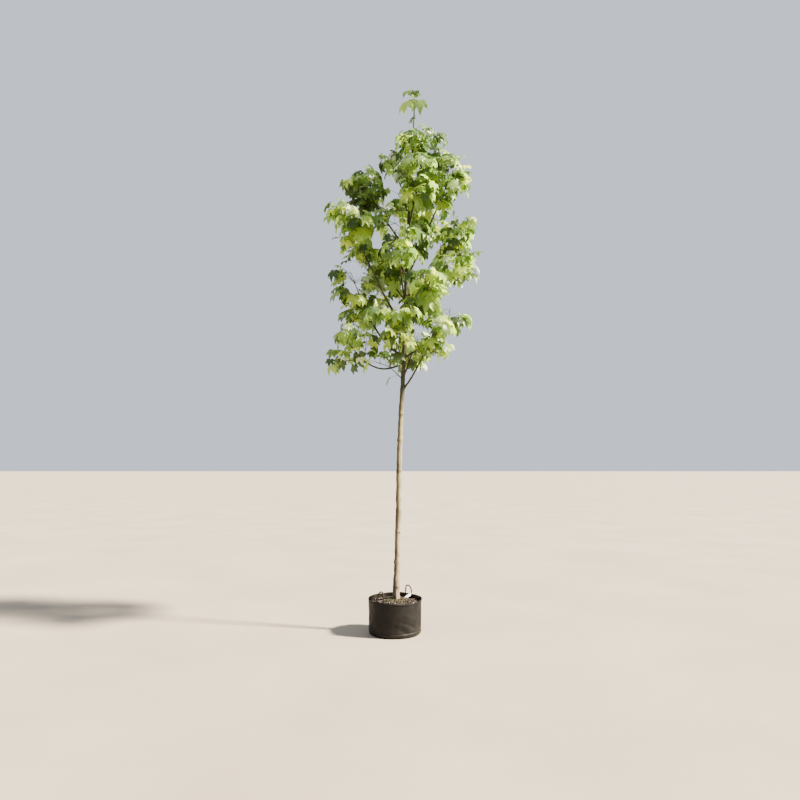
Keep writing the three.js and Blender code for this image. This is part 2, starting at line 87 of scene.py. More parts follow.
# What the solids leave to this script. A pair of numbers is the range of an even draw.
FINE_TWIG = Sizes(
    shares=(0.36, 0.66), length=0.42, lengths=(0.8, 1.2), longest=1.1, shorten=0.5, fork=44,
    forks=(-8, 8), lifts=(0, 0.25), arch=0.02, radius=0.0019, tip_radius=0.0012,
)
SHOOT = Sizes(
    pair_gap=0.06, bare=0.28, end_gap=0.012, last_gap=0.004, tip_size=0.88, foot_size=1.08, tip_lift=16,
    level=0.2,
)
STALK = Sizes(
    share=0.52, lengths=(0.8, 1.15), tip_stretch=1.15, rise=38, rises=(-8, 14), bend=0.55, arch=0.14,
    radius=0.0011, foot_radius=0.0016,
)
BLADE = Sizes(
    share=0.42, share_spread=0.11, swing=34, dip=10, dips=(-16, 16), steepest=-88, highest=40,
    turns=(-14, 14), droop=(0.2, 0.6), fold=(0.06, 0.13), cup=(0.12, 0.42), middle=0.4,
)

# The viewer stands straight in front of the trunk and looks level
VIEWER = Sizes(distance=6.0, eye_height=1.515, lens=29.4, sensor=36, shift_x=0.00625, shift_y=0.085)
FLOOR_HALF = 300.0
SUN = Sizes(azimuth=-14, elevation=40, width=6, energy=17)

# Where each bough leaves the trunk, which way it points, how far its tip is out and up from there, how
# late it turns up (bend) and hangs (sag), the share of it that stays bare, and the seed of its foliage.
# One with no bare share is a spur: its foliage begins at the trunk.
Bough = namedtuple("Bough", "height azimuth reach rise bend sag bare seed")
BOUGHS = {
    "low_right": Bough(2.24, 352, 0.34, 0.64, 1.3, 0, 0.42, 27),
    "low_back": Bough(2.35, 72, 0.46, 0.47, 1.2, 0, 0.3, 1),
    "low_front": Bough(2.40, 258, 0.42, 0.42, 1.2, 0, 0.3, 2),
    "low_left": Bough(2.48, 184, 0.57, 0.27, 2, 0.1, 0.5, 3),
    "right_low": Bough(2.53, 18, 0.49, 0.39, 1.2, 0, 0.4, 4),
    "left_rise": Bough(2.56, 160, 0.53, 0.80, 1.8, 0, 0.4, 5),
    "front_right": Bough(2.69, 300, 0.46, 0.48, 1.2, 0, 0.3, 6),
    "left_long": Bough(2.78, 198, 0.58, 1.06, 1.15, 0, 0.45, 34),
    "back_right": Bough(2.83, 55, 0.50, 0.46, 1.2, 0, 0.3, 8),
    "right_mid": Bough(2.81, 342, 0.545, 0.56, 1.1, 0, 0.45, 36),
    "front_mid": Bough(3.02, 258, 0.46, 0.52, 1.2, 0, 0.3, 10),
    "back_left": Bough(3.06, 118, 0.50, 0.48, 1.2, 0, 0.3, 11),
    "right_wide": Bough(3.08, 14, 0.53, 0.69, 1.2, 0, 0.4, 66),
    "right_tall": Bough(3.24, 338, 0.45, 0.93, 1, 0, 0.52, 40),
    "left_inner": Bough(3.29, 222, 0.33, 0.42, 1.2, 0, 0.3, 14),
    "left_high": Bough(3.52, 172, 0.45, 0.69, 1.1, 0, 0.45, 15),
    "back_high": Bough(3.58, 84, 0.37, 0.46, 1.2, 0, 0.3, 16),
    "front_high": Bough(3.72, 288, 0.35, 0.43, 1.2, 0, 0.3, 17),
    "right_top": Bough(3.96, 18, 0.28, 0.43, 1.1, 0, 0.3, 18),
    "left_top": Bough(3.95, 205, 0.20, 0.36, 1.2, 0, 0.3, 19),
    "inner_low": Bough(2.33, 205, 0.15, 0.12, 1.1, 0, 0, 20),
    "inner_back": Bough(3.00, 330, 0.17, 0.23, 1.1, 0, 0, 21),
    "inner_front": Bough(3.42, 350, 0.18, 0.23, 1.1, 0, 0, 22),
    "inner_high": Bough(3.86, 130, 0.16, 0.23, 1.1, 0, 0, 23),
    "back_top": Bough(4.20, 112, 0.17, 0.22, 1.2, 0, 0, 24),
    "front_top": Bough(4.23, 280, 0.16, 0.19, 1.2, 0, 0, 25),
}
LEADER_SEED = 26
# The leader shoot's leaves: where each stalk leaves the shoot, which way and how steeply it goes and how
# long it is, and which way its blade faces, how steeply it hangs and how long it is.
LeaderLeaf = namedtuple("LeaderLeaf", "height azimuth rise stalk facing dip blade")
LEADER_LEAVES = [
    LeaderLeaf(4.540, 178, 2, 0.075, 196, -66, 0.110),
    LeaderLeaf(4.542, 352, 2, 0.075, 338, -64, 0.112),
    LeaderLeaf(4.546, 262, 8, 0.060, 262, -52, 0.115),
    LeaderLeaf(4.548, 86, 8, 0.070, 86, -56, 0.110),
    LeaderLeaf(4.560, 215, 10, 0.075, 222, -56, 0.105),
    LeaderLeaf(4.562, 35, 10, 0.070, 35, -54, 0.105),
    LeaderLeaf(4.566, 306, 10, 0.075, 304, -56, 0.105),
    LeaderLeaf(4.568, 130, 10, 0.070, 136, -54, 0.100),
    LeaderLeaf(4.574, 240, 22, 0.050, 236, -44, 0.085),
    LeaderLeaf(4.576, 62, 22, 0.050, 62, -44, 0.085),
    LeaderLeaf(4.618, 345, 14, 0.115, 325, -32, 0.125),
    LeaderLeaf(4.722, 200, 4, 0.022, 245, -50, 0.062),
    LeaderLeaf(4.862, 184, 6, 0.070, 256, -56, 0.120),
    LeaderLeaf(4.872, 352, 4, 0.042, 290, -60, 0.108),
    LeaderLeaf(4.944, 182, 34, 0.062, 215, -34, 0.085),
    LeaderLeaf(4.946, 350, 50, 0.026, 300, -30, 0.070),
    LeaderLeaf(4.956, 262, 30, 0.016, 262, -46, 0.066),
    LeaderLeaf(4.958, 84, 36, 0.016, 84, -24, 0.056),
]

UP = np.array([0.0, 0.0, 1.0])


def outward(azimuth):
    """The level unit vector that points out at an azimuth."""
    turn = np.radians(azimuth)
    return np.stack([np.cos(turn), np.sin(turn), np.zeros_like(turn)], axis=-1)


def aimed(azimuth, degrees):
    """The unit vector at an azimuth that rises by so many degrees."""
    return outward(azimuth) * np.cos(np.radians(degrees)) + UP * np.sin(np.radians(degrees))


def round_points(azimuth, radius, height):
    """The points at these azimuths, distances from the bag's middle and heights."""
    azimuth, radius, height = np.broadcast_arrays(azimuth, radius, height)
    return outward(azimuth) * radius[..., None] + UP * height[..., None]


def unit(vectors):
    """Each vector divided by its own length."""
    return vectors / np.linalg.norm(vectors, axis=-1, keepdims=True)


def square_to(vectors, ways):
    """The vectors without their part along the unit ways, at unit length."""
    return unit(vectors - ways * np.sum(vectors * ways, -1, keepdims=True))


def turned(vector, axis, degrees):
    """A vector turned about a unit axis by Rodrigues' formula."""
    turn = np.radians(degrees)
    across = np.cross(axis, vector)
    return vector * np.cos(turn) + across * np.sin(turn) + axis * np.dot(axis, vector) * (1 - np.cos(turn))


def seeded(seed):
    """The solids' repeatable run of numbers from 0 to 1: each is worked out from the one before by a
    fixed rule."""
    state = ((seed + 1) * 2654435761) % 2**32
    while True:
        state = (state * 1664525 + 1013904223) % 2**32
        yield state / 2**32


def spread(random, amount):
    """An even draw from -amount to amount."""
    return (2 * next(random) - 1) * amount


def hump(away, reach):
    """A bell curve: 1 in its middle, and 1/e at the reach."""
    return np.exp(-((away / reach) ** 2))


def ripple(points, size, seed, waves=14):
    """Smooth uneven relief, mostly between -1 and 1: a sum of plane sine waves in seeded directions, each
    with a wavelength near the given size."""
    random = np.random.default_rng(seed)
    ways = unit(random.normal(size=(waves, 3)))
    ways = ways * (2 * np.pi / (size * random.uniform(0.7, 1.5, (waves, 1))))
    phases = random.uniform(0, 2 * np.pi, waves)
    return np.sin(points @ ways.T + phases).sum(-1) * np.sqrt(1 / waves)


# Limbs


class Line:
    """A limb's middle line, read by the share of its length."""

    def __init__(self, point, across):
        self.point = point
        self.across = across
        self.shares = np.linspace(0, 1, 201)
        steps = np.linalg.norm(np.diff(point(self.shares), axis=0), axis=1)
        self.reached = np.concatenate([[0], np.cumsum(steps)])
        self.length = self.reached[-1]

    def at(self, share):
        """The points at these shares of the length."""
        return self.point(np.interp(np.asarray(share) * self.length, self.reached, self.shares))

    def way(self, share):
        """The unit tangents at these shares of the length."""
        share = np.asarray(share)
        return unit(self.at(np.minimum(share + 1e-3, 1)) - self.at(np.maximum(share - 1e-3, 0)))


def trunk_points(share):
    """The trunk's line: an even lean to the right, a bow to the left over its whole height and a small
    sway."""
    climb = TRUNK.leader_tip - SOIL.crest - GAP
    bow = TRUNK.bow * np.sin(np.pi * share)
    sway = TRUNK.sway * np.sin(TRUNK.sway_turns * 2 * np.pi * share)
    x = TRUNK.foot + TRUNK.lean * climb * share - bow + sway
    return np.stack([x, np.zeros_like(x), SOIL.crest + GAP + climb * share], axis=-1)


def bough_points(foot, bough):
    """A bough's line: evenly out, ever more steeply up by the power bend, and a sine sag that lowers its
    middle."""

    def points(share):
        share = np.asarray(share)
        lift = bough.rise * share**bough.bend - bough.sag * np.sin(np.pi * share)
        return foot + outward(bough.azimuth) * bough.reach * share[..., None] + UP * lift[..., None]

    return points


def twig_of(foot, direction, length, arch, radius, tip_radius):
    """A twig: straight from its foot, with its middle lifted by a share of its length in half a sine
    wave."""
    tip = foot + direction * length

    def points(share):
        share = np.asarray(share)[..., None]
        return foot + (tip - foot) * share + UP * (arch * length) * np.sin(np.pi * share)

    line = Line(points, unit(np.cross(direction, UP)))
    return Sizes(line=line, start=0.0, radius=radius, tip_radius=tip_radius)


def trunk_share(height):
    """The share of the trunk's line that lies below a height."""
    return (height - SOIL.crest - GAP) / (TRUNK.leader_tip - SOIL.crest - GAP)


def trunk_radius(share):
    """The wood thins to the tip by the power taper, and a flare at the soil dies away upwards."""
    wood = TRUNK.tip_radius + (TRUNK.radius - TRUNK.tip_radius) * np.maximum(1 - share, 0) ** TRUNK.taper
    above_soil = share * (TRUNK.leader_tip - SOIL.crest)
    return wood + TRUNK.flare * np.exp(-above_soil / TRUNK.flare_reach)


trunk_line = Line(trunk_points, np.array([0.0, 1.0, 0.0]))


def limb_radius(line):
    """A bough's and its stem's radius: it falls evenly to the tip, and a longer limb is thicker at its
    foot."""
    return lambda share: LIMB.tip_radius + LIMB.radius_per_length * line.length * (1 - share)


def mass_of(name, line, bare, radius_at, seed, core):
    """A limb with its mass of foliage, whose middle lies core of the way along its stem."""
    centre = line.at(bare + (1 - bare) * core)
    stem_from = bare + GAP / line.length
    low, high = (np.array(corner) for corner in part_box(f"foliage_{name}"))
    return Sizes(
        name=name, line=line, bare=bare, radius_at=radius_at, seed=seed, centre=centre, low=low, high=high,
        stem_from=stem_from, stem_length=(1 - stem_from) * line.length,
    )


masses = []
for name, bough in BOUGHS.items():
    line = Line(bough_points(trunk_line.at(trunk_share(bough.height)), bough), outward(bough.azimuth + 90))
    masses.append(mass_of(name, line, bough.bare, limb_radius(line), bough.seed, MASS_CORE))
leader = mass_of("leader", trunk_line, trunk_share(TRUNK.top), trunk_radius, LEADER_SEED, LEADER_CORE)
masses.append(leader)
centres = np.array([mass.centre for mass in masses])
boughs = [mass for mass in masses if mass.bare and mass is not leader]


def in_space(mass, points, margin=SPACE_MARGIN):
    """Whether all the points lie nearer to this mass's centre than to any other's, with a margin."""
    others = np.array([other is not mass for other in masses])
    far = np.sum((points[:, None] - centres[others]) ** 2, axis=-1)
    near = np.sum((points - mass.centre) ** 2, axis=-1)[:, None]
    apart = 2 * np.linalg.norm(centres[others] - mass.centre, axis=-1)
    return bool(np.all((far - near) / apart > margin))


BEAD_GAP = 0.012  # between the points that stand for a limb when something is kept clear of it


def limb_beads(line, first, last, radius_at):
    """Points strung along a limb's line at an even gap, each with the limb's radius there."""
    share = np.linspace(first, last, max(2, int((last - first) * line.length / BEAD_GAP)))
    return line.at(share), radius_at(share)


beads = [limb_beads(trunk_line, 0, 1, trunk_radius)]
bead_owners = [np.full(len(beads[0][1]), -1)]
for index, mass in enumerate(masses[:-1]):
    for first, last, owner in [(0, mass.bare, -1), (mass.bare, 1, index)]:
        if last > first:
            beads.append(limb_beads(mass.line, first, last, mass.radius_at))
            bead_owners.append(np.full(len(beads[-1][1]), owner))
bead_points = np.concatenate([points for points, _ in beads])
bead_radii = np.concatenate([radii for _, radii in beads])
bead_owners = np.concatenate(bead_owners)


def clear_of_limbs(points, clearance, owner=None):
    """Whether all the points lie at least the clearance outside every limb, apart from the owner's own
    stem."""
    counted = bead_owners != owner if owner is not None else np.ones(len(bead_radii), bool)
    apart = np.linalg.norm(points[:, None] - bead_points[counted], axis=-1)
    return bool(np.all(apart > bead_radii[counted] + clearance))


# Twigs and leaf sites


def twigs_of(index, mass):
    """The solids' twigs: opposite pairs that turn a quarter from one pair to the next and shorten to the
    tip. One that would leave the mass's space or touch another limb is skipped."""
    random = seeded(mass.seed)
    pairs = max(2, round(mass.stem_length / TWIG.pair_spacing))
    found = []
    for pair in range(pairs):
        along = TWIG.first_share + (TWIG.last_share - TWIG.first_share) * pair / (pairs - 1)
        share = mass.stem_from + along * (1 - mass.stem_from)
        tangent = mass.line.way(share)
        other = np.cross(mass.line.across, tangent)
        foot = mass.line.at(share)
        for way in (0, 180):
            turn = np.radians(way + 90 * (pair + mass.seed) + spread(random, TWIG.turn_spread))
            fork = np.radians(TWIG.fork + spread(random, TWIG.fork_spread))
            length = TWIG.length * (1 - TWIG.shorten * along) * (1 + spread(random, TWIG.length_spread))
            sideways = (mass.line.across * np.cos(turn) + other * np.sin(turn)) * np.sin(fork)
            direction = unit(tangent * np.cos(fork) + sideways + UP * TWIG.lift)
            ends = np.linspace(foot, foot + direction * length, 14)
            apart = in_space(mass, ends, SPACE_MARGIN + TWIG.clearance)
            if apart and clear_of_limbs(ends, TWIG.clearance, index):
                radii = TWIG.base_radius, FINE_TWIG.radius
                found.append(twig_of(foot, direction, length, TWIG.arch, *radii))
    return found


def fine_twigs_of(mass, twig, random):
    """Finer twigs: opposite pairs on a twig, each pair in a plane turned a quarter from the one before,
    shorter towards the twig's tip."""
    found = []
    for number, share in enumerate(FINE_TWIG.shares):
        tangent = twig.line.way(share)
        side = np.cross(twig.line.across, tangent) if number % 2 else twig.line.across
        foot = twig.line.at(share)
        whole = FINE_TWIG.length * twig.line.length * (FINE_TWIG.longest - FINE_TWIG.shorten * share)
        for way in (-1, 1):
            fork = np.radians(FINE_TWIG.fork + random.uniform(*FINE_TWIG.forks))
            lift = UP * random.uniform(*FINE_TWIG.lifts)
            direction = unit(tangent * np.cos(fork) + way * side * np.sin(fork) + lift)
            length = whole * random.uniform(*FINE_TWIG.lengths)
            ends = np.linspace(foot, foot + direction * length, 8)
            if in_space(mass, ends) and clear_of_limbs(ends[2:], TWIG.clearance):
                radii = FINE_TWIG.radius, FINE_TWIG.tip_radius
                found.append(twig_of(foot, direction, length, FINE_TWIG.arch, *radii))
    return found


def leaf_sites(line, start):
    """Where leaves stand on a shoot: opposite pairs at an even gap, each turned a quarter from the one
    before, and at its tip one that goes on. Each site has its place, its way out, its size and its lift:
    the last leaves are smaller and held higher."""
    first = start + (1 - start) * SHOOT.bare
    last = 1 - SHOOT.end_gap / line.length
    pairs = max(1, round((last - first) * line.length / SHOOT.pair_gap))
    sites = []
    for number, share in enumerate(np.linspace(last, first, pairs, endpoint=pairs > 1)):
        tangent = line.way(share)
        other = np.cross(line.across, tangent)
        side = other if number % 2 else line.across
        size = SHOOT.tip_size + (SHOOT.foot_size - SHOOT.tip_size) * min(number, 2) / 2
        lift = SHOOT.tip_lift if number == 0 else 0
        for way in (-1, 1):
            out = unit(way * side * LEAF.reach + tangent * (1 - LEAF.reach))
            sites.append((line.at(share), out, size, lift))
    sites.append((line.at(1 - SHOOT.last_gap / line.length), line.way(1.0), SHOOT.tip_size, SHOOT.tip_lift))
    return sites


Leaf = namedtuple("Leaf", "root bend junction forward normal blade droop fold cup")


def leaf_of(place, azimuth, rise, stalk, facing, dip, blade, random):
    """A leaf: its stalk goes out from the twig in an arch, and its blade points on from the stalk's end
    with its upper side to the sky, turned a little about its own midrib."""
    stalk_way = aimed(azimuth, rise)
    forward = aimed(facing, dip)
    normal = turned(aimed(facing, dip + 90), forward, random.uniform(-1, 1) * LEAF.roll)
    forward = turned(forward, normal, random.uniform(*BLADE.turns))
    bend = place + stalk_way * stalk * STALK.bend + UP * stalk * STALK.arch
    shape = (random.uniform(*limits) for limits in (BLADE.droop, BLADE.fold, BLADE.cup))
    return Leaf(place, bend, place + stalk_way * stalk, forward, normal, blade, *shape)


def leaf_at(place, out, size, lift, random):
    """A leaf at a site on a shoot, held by a seeded draw and lifted by so many degrees. On a shoot that
    points almost straight up it goes out any way."""
    level = np.degrees(np.arctan2(out[1], out[0]))
    if np.hypot(out[0], out[1]) < SHOOT.level:
        level = random.uniform(0, 360)
    azimuth = level + random.uniform(-1, 1) * LEAF.swing
    facing = azimuth + random.uniform(-1, 1) * BLADE.swing
    pitch = LEAF.pitch + lift + random.uniform(-1, 1) * LEAF.pitch_spread
    length = LEAF.length * size * (1 + random.uniform(-1, 1) * LEAF.size_spread)
    rise = pitch + STALK.rise + random.uniform(*STALK.rises)
    dip = np.clip(pitch - BLADE.dip + random.uniform(*BLADE.dips), BLADE.steepest, BLADE.highest)
    stalk = STALK.share * length * random.uniform(*STALK.lengths) * (STALK.tip_stretch if lift else 1)
    blade = length * (BLADE.share + random.uniform(-1, 1) * BLADE.share_spread)
    return leaf_of(place, azimuth, rise, stalk, facing, dip, blade, random)


# The blade's outline, half of it: the angle from the midrib in degrees and the reach as a share of the
# blade's length. Lobe tips lie at 0, 46 and 97 degrees with a tooth on each shoulder, and the base is
# heart-shaped.
BLADE_OUTLINE = [
    (0, 1.0), (9, 0.83), (17, 0.77), (25, 0.60), (33, 0.76), (40, 0.81), (46, 0.95), (54, 0.80), (62, 0.74),
    (73, 0.54), (84, 0.64), (97, 0.70), (112, 0.55), (136, 0.47), (160, 0.32), (180, 0.07),
]
SINUSES = (3, 9)  # the outline's points between two lobes
LOBE_ANGLE = 47.0  # between two lobes' veins
MIDRIBS = [(0, 0.52), (46, 0.48), (102, 0.32)]  # a point half way along each lobe
half_angles, half_reaches = np.array(BLADE_OUTLINE, float).T
outline_count = 2 * len(BLADE_OUTLINE) - 2
other_ribs = [(-angle, reach) for angle, reach in MIDRIBS[:0:-1]]
rib_angles, rib_reaches = np.array([*MIDRIBS, *other_ribs], float).T
blade_angles = np.radians(np.concatenate([[0], rib_angles, half_angles, -half_angles[-2:0:-1]]))
blade_reaches = np.concatenate([[0], rib_reaches, half_reaches, half_reaches[-2:0:-1]])
blade_points = np.stack([np.sin(blade_angles), np.cos(blade_angles)], -1) * blade_reaches[:, None]


def blade_triangles():
    """The blade's 40 faces: each lobe is a fan round its middle, and the fans meet at the stalk."""
    lobes = len(rib_angles)
    outline = 1 + lobes
    notch = len(BLADE_OUTLINE) - 1
    ends = [-SINUSES[0], *SINUSES, notch, outline_count - SINUSES[1], outline_count - SINUSES[0]]
    faces = []
    for lobe in range(lobes):
        rim = [outline + place % outline_count for place in range(ends[lobe], ends[lobe + 1] + 1)]
        rib = 1 + lobe
        faces += [(rib, following, near) for near, following in zip(rim, rim[1:])]
        faces += [(0, rib, rim[0]), (0, rim[-1], rib)]
    return np.array(faces)


blade_faces = blade_triangles()


def column(leaves, name):
    """One value of all the leaves, as an array."""
    return np.array([getattr(leaf, name) for leaf in leaves])


def blade_relief(leaves):
    """Each blade's height over its plan: it droops by the square of the way forward, cups by the square
    of the way sideways, and each lobe is folded along its midrib in a cosine of the angle."""
    side, forward = blade_points.T
    angle = np.degrees(np.arctan2(side, forward))
    folds = np.cos(np.radians(angle * 360 / LOBE_ANGLE)) * np.hypot(side, forward)
    droop, fold, cup = (column(leaves, name)[:, None] for name in ("droop", "fold", "cup"))
    return -droop * np.maximum(forward, 0) ** 2 - cup * side**2 - fold * folds


def blade_vertices(leaves):
    """All the blades' vertices: plan and relief laid out along each leaf's side, forward and normal
    ways."""
    forward = column(leaves, "forward")
    normal = column(leaves, "normal")
    side = np.cross(forward, normal)
    size = column(leaves, "blade")[:, None, None]
    plan_side, plan_forward = blade_points.T
    spread_out = side[:, None] * plan_side[:, None] + forward[:, None] * plan_forward[:, None]
    relief = normal[:, None] * blade_relief(leaves)[..., None]
    return column(leaves, "junction")[:, None] + size * (spread_out + relief)


# Where the sky shows through the crown, as the viewer sees it: its middle's distance to the right and its
# height where the line of sight passes the trunk, and its half width and half height.
SKY_GAPS = [
    (-0.01, 3.74, 0.045, 0.08),
    (-0.17, 3.61, 0.035, 0.06),
    (-0.38, 3.26, 0.06, 0.15),
    (0.55, 3.02, 0.13, 0.07),
    (0.21, 2.74, 0.025, 0.06),
    (-0.14, 2.79, 0.03, 0.03),
    (-0.15, 2.46, 0.08, 0.05),
    (-0.50, 4.26, 0.13, 0.09),
    (-0.55, 3.55, 0.04, 0.07),
    (-0.60, 2.80, 0.09, 0.06),
    (0.62, 3.90, 0.07, 0.08),
    (-0.05, 4.62, 0.09, 0.07),
]


def seen_through_gap(points):
    """Whether any of the points lies in a sky gap, as the viewer sees it."""
    shrink = VIEWER.distance / (VIEWER.distance + points[:, 1])
    across = points[:, 0] * shrink
    height = VIEWER.eye_height + (points[:, 2] - VIEWER.eye_height) * shrink
    return any(
        np.any(((across - x) / half_width) ** 2 + ((height - z) / half_height) ** 2 < 1)
        for x, z, half_width, half_height in SKY_GAPS
    )


def grow():
    """Grows the whole crown: its stems, twigs, finer twigs, and leaves by spray. A fine twig with no leaf
    is left out."""
    shoots, sprays = [], []
    taken = np.empty((0, 3))
    for index, mass in enumerate(masses):
        random = np.random.default_rng(100 + mass.seed)
        stem = Sizes(line=mass.line, start=mass.stem_from, radius_at=mass.radius_at)
        branches = [] if mass is leader else twigs_of(index, mass)
        fine = [small for twig in branches for small in fine_twigs_of(mass, twig, random)]
        for shoot in [stem, *branches, *fine]:
            spray = []
            for site in leaf_sites(shoot.line, shoot.start) if mass is not leader else []:
                leaf = try_leaf(mass, site, random, taken)
                if leaf:
                    spray.append(leaf)
                    taken = np.vstack([taken, blade_middle(leaf)])
            if spray:
                sprays.append(spray)
            if spray or shoot is stem or shoot in branches:
                shoots.append(shoot)
    random = np.random.default_rng(LEADER_SEED)
    for leaf in LEADER_LEAVES:
        sprays.append([leaf_of(trunk_line.at(trunk_share(leaf.height)), *leaf[1:], random)])
    return shoots, sprays


def blade_middle(leaf):
    """The point where a blade is widest, which stands for it when blades are kept apart."""
    return leaf.junction + leaf.forward * leaf.blade * BLADE.middle


LEAF_TRIES = 8
LEAF_APART = 0.042  # between the middles of two blades
LEAF_CLEARANCE = 0.004  # between a blade and a limb
REACH_PROUD = 0.035  # how far a leaf may stand out of its mass's box
BOX_PROUD = 0.004  # how far a leaf may stand out of the whole plant's box
SPACE_OVERLAP = 0.04  # how far a blade may hang over the border to the next mass
crown_low, crown_high = (np.array(corner) for corner in cad_box)


def try_leaf(mass, site, random, taken):
    """A leaf at a site, held one way after another until it stays in its mass's space and box, off every
    limb, out of the sky gaps and clear of the blades before it, or none."""
    low = np.maximum(mass.low - REACH_PROUD, crown_low - BOX_PROUD)
    high = np.minimum(mass.high + REACH_PROUD, crown_high + BOX_PROUD)
    for _ in range(LEAF_TRIES):
        leaf = leaf_at(*site, random)
        rim = blade_vertices([leaf])[0]
        if np.any(rim < low) or np.any(rim > high) or not in_space(mass, rim, -SPACE_OVERLAP):
            continue
        if seen_through_gap(rim) or not clear_of_limbs(rim[::2], LEAF_CLEARANCE):
            continue
        if len(taken) and np.min(np.linalg.norm(taken - blade_middle(leaf), axis=1)) < LEAF_APART:
            continue
        return leaf
    return None


# Meshes


def placed(name, data):
    """An object of this name and data, put into the scene."""
    made = bpy.data.objects.new(name, data)
    bpy.context.scene.collection.objects.link(made)
    return made


def piece(name, vertices, faces, finish, slot, uv=None, replaces=(), smooth=True):
    """Puts arrays into a mesh: vertices as rows, faces as one array for each number of corners, and the
    uv as one row for each vertex."""
    mesh = bpy.data.meshes.new(name)
    corners = np.concatenate([array.ravel() for array in faces])
    counts = np.concatenate([np.full(len(array), array.shape[1]) for array in faces])
    mesh.vertices.add(len(vertices))
    mesh.vertices.foreach_set("co", np.asarray(vertices, np.float32).ravel())
    mesh.loops.add(len(corners))
    mesh.loops.foreach_set("vertex_index", corners.astype(np.int32))
    mesh.polygons.add(len(counts))
    mesh.polygons.foreach_set("loop_start", np.concatenate([[0], np.cumsum(counts)[:-1]]).astype(np.int32))
    mesh.polygons.foreach_set("loop_total", counts.astype(np.int32))
    mesh.polygons.foreach_set("use_smooth", np.full(len(counts), smooth))
    if uv is not None:
        layer = mesh.uv_layers.new(name="surface")
        layer.data.foreach_set("uv", np.asarray(uv, np.float32)[corners].ravel())
    mesh.update(calc_edges=True)
    mesh.validate()
    mesh.materials.append(finish)
    made = placed(name, mesh)
    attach(made, "root")
    if replaces:
        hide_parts(*replaces)
    return made


def ringed(rings):
    """Vertices and faces of closed tubes. Their rings come as an array of tubes, rings, corners and
    coordinates; each tube gets quads between its rings and a fan to a middle point at both ends."""
    tubes, count, sides, _ = rings.shape
    walls = rings.reshape(-1, 3)
    start = np.arange(tubes)[:, None, None] * count * sides
    near = np.arange(sides)[None, None, :]
    following = (near + 1) % sides
    low = start + np.arange(count - 1)[None, :, None] * sides
    quads = np.stack([low + near, low + following, low + following + sides, low + near + sides], -1)
    near, following = near[0], following[0]
    first = start[:, 0]
    last = first + (count - 1) * sides
    first_middle = np.broadcast_to(len(walls) + np.arange(tubes)[:, None], (tubes, sides))
    bottom = np.stack([first + following, first + near, first_middle], -1)
    top = np.stack([last + near, last + following, first_middle + tubes], -1)
    vertices = np.concatenate([walls, rings[:, 0].mean(1), rings[:, -1].mean(1)])
    return vertices, [quads.reshape(-1, 4), bottom.reshape(-1, 3), top.reshape(-1, 3)]


def tube_rings(paths, radii, across, sides):
    """Round rings square to each path, from an array of tubes, points and coordinates. A ring's corners
    start from the tube's own across way."""
    tangents = unit(np.gradient(paths, axis=1))
    across = square_to(np.broadcast_to(across[:, None], paths.shape), tangents)
    other = np.cross(tangents, across)
    turn = 2 * np.pi * np.arange(sides) / sides
    circle = across[:, :, None] * np.cos(turn)[:, None] + other[:, :, None] * np.sin(turn)[:, None]
    return paths[:, :, None] + circle * radii[:, :, None, None]


def joined(parts):
    """Several sets of vertices and faces as one."""
    vertices, faces, offset = [], {}, 0
    for points, arrays in parts:
        for array in arrays:
            faces.setdefault(array.shape[1], []).append(array + offset)
        vertices.append(points)
        offset += len(points)
    return np.concatenate(vertices), [np.concatenate(arrays) for arrays in faces.values()]


# Materials


def colour(code):
    """An sRGB hex colour turned to linear, with full alpha."""
    shares = np.array([int(code[i : i + 2], 16) for i in (1, 3, 5)]) / 255
    linear = np.where(shares <= 0.04045, shares / 12.92, ((shares + 0.055) / 1.055) ** 2.4)
    return (*linear, 1.0)


def node(tree, kind, inputs=None, output=0, stops=(), **settings):
    """Adds one node: its settings, its colour stops if it has any, and its inputs, each a value or a
    link. It gives back the output that is asked for."""
    made = tree.nodes.new("ShaderNode" + kind)
    for name, value in settings.items():
        setattr(made, name, value)
    for number, (place, code) in enumerate(stops):
        ramp = made.color_ramp.elements
        stop = ramp[number] if number < 2 else ramp.new(place)
        stop.position = place
        stop.color = colour(code)
    for name, value in (inputs or {}).items():
        socket = made.inputs[name]
        if isinstance(value, bpy.types.NodeSocket):
            tree.links.new(value, socket)
        else:
            socket.default_value = value
    return made.outputs[output] if made.outputs else None


def material(name):
    """An empty material and its node tree."""
    made = bpy.data.materials.new(name)
    made.use_nodes = True
    made.node_tree.nodes.clear()
    return made, made.node_tree


def surface(tree, base, finish, relief=None, strength=0.0, depth=0.0):
    """Ends a material's tree: its base colour, its finish on the shader's own sockets, and its relief, if
    it has any, as a bump so many metres deep."""
    finish = {"Base Color": base, **finish}
    if relief is not None:
        finish["Normal"] = node(tree, "Bump", {"Height": relief, "Strength": strength, "Distance": depth})
    node(tree, "OutputMaterial", {"Surface": node(tree, "BsdfPrincipled", finish)})


def grained(name, stops, scale, detail, roughness, grit=None, strength=0.0, depth=0.0):
    """A material in uneven tones: noise of so many grains to the metre picks the tone. Its grit, if it
    has any, is noise of its own scale and detail, as relief."""
    made, tree = material(name)
    place = node(tree, "TexCoord", output="Object")
    tint = node(tree, "TexNoise", {"Vector": place, "Scale": scale, "Detail": detail})
    base = node(tree, "ValToRGB", {0: tint}, stops=stops)
    relief = grit and node(tree, "TexNoise", {"Vector": place, "Scale": grit[0], "Detail": grit[1]})
    surface(tree, base, {"Roughness": roughness}, relief, strength, depth)
    return made


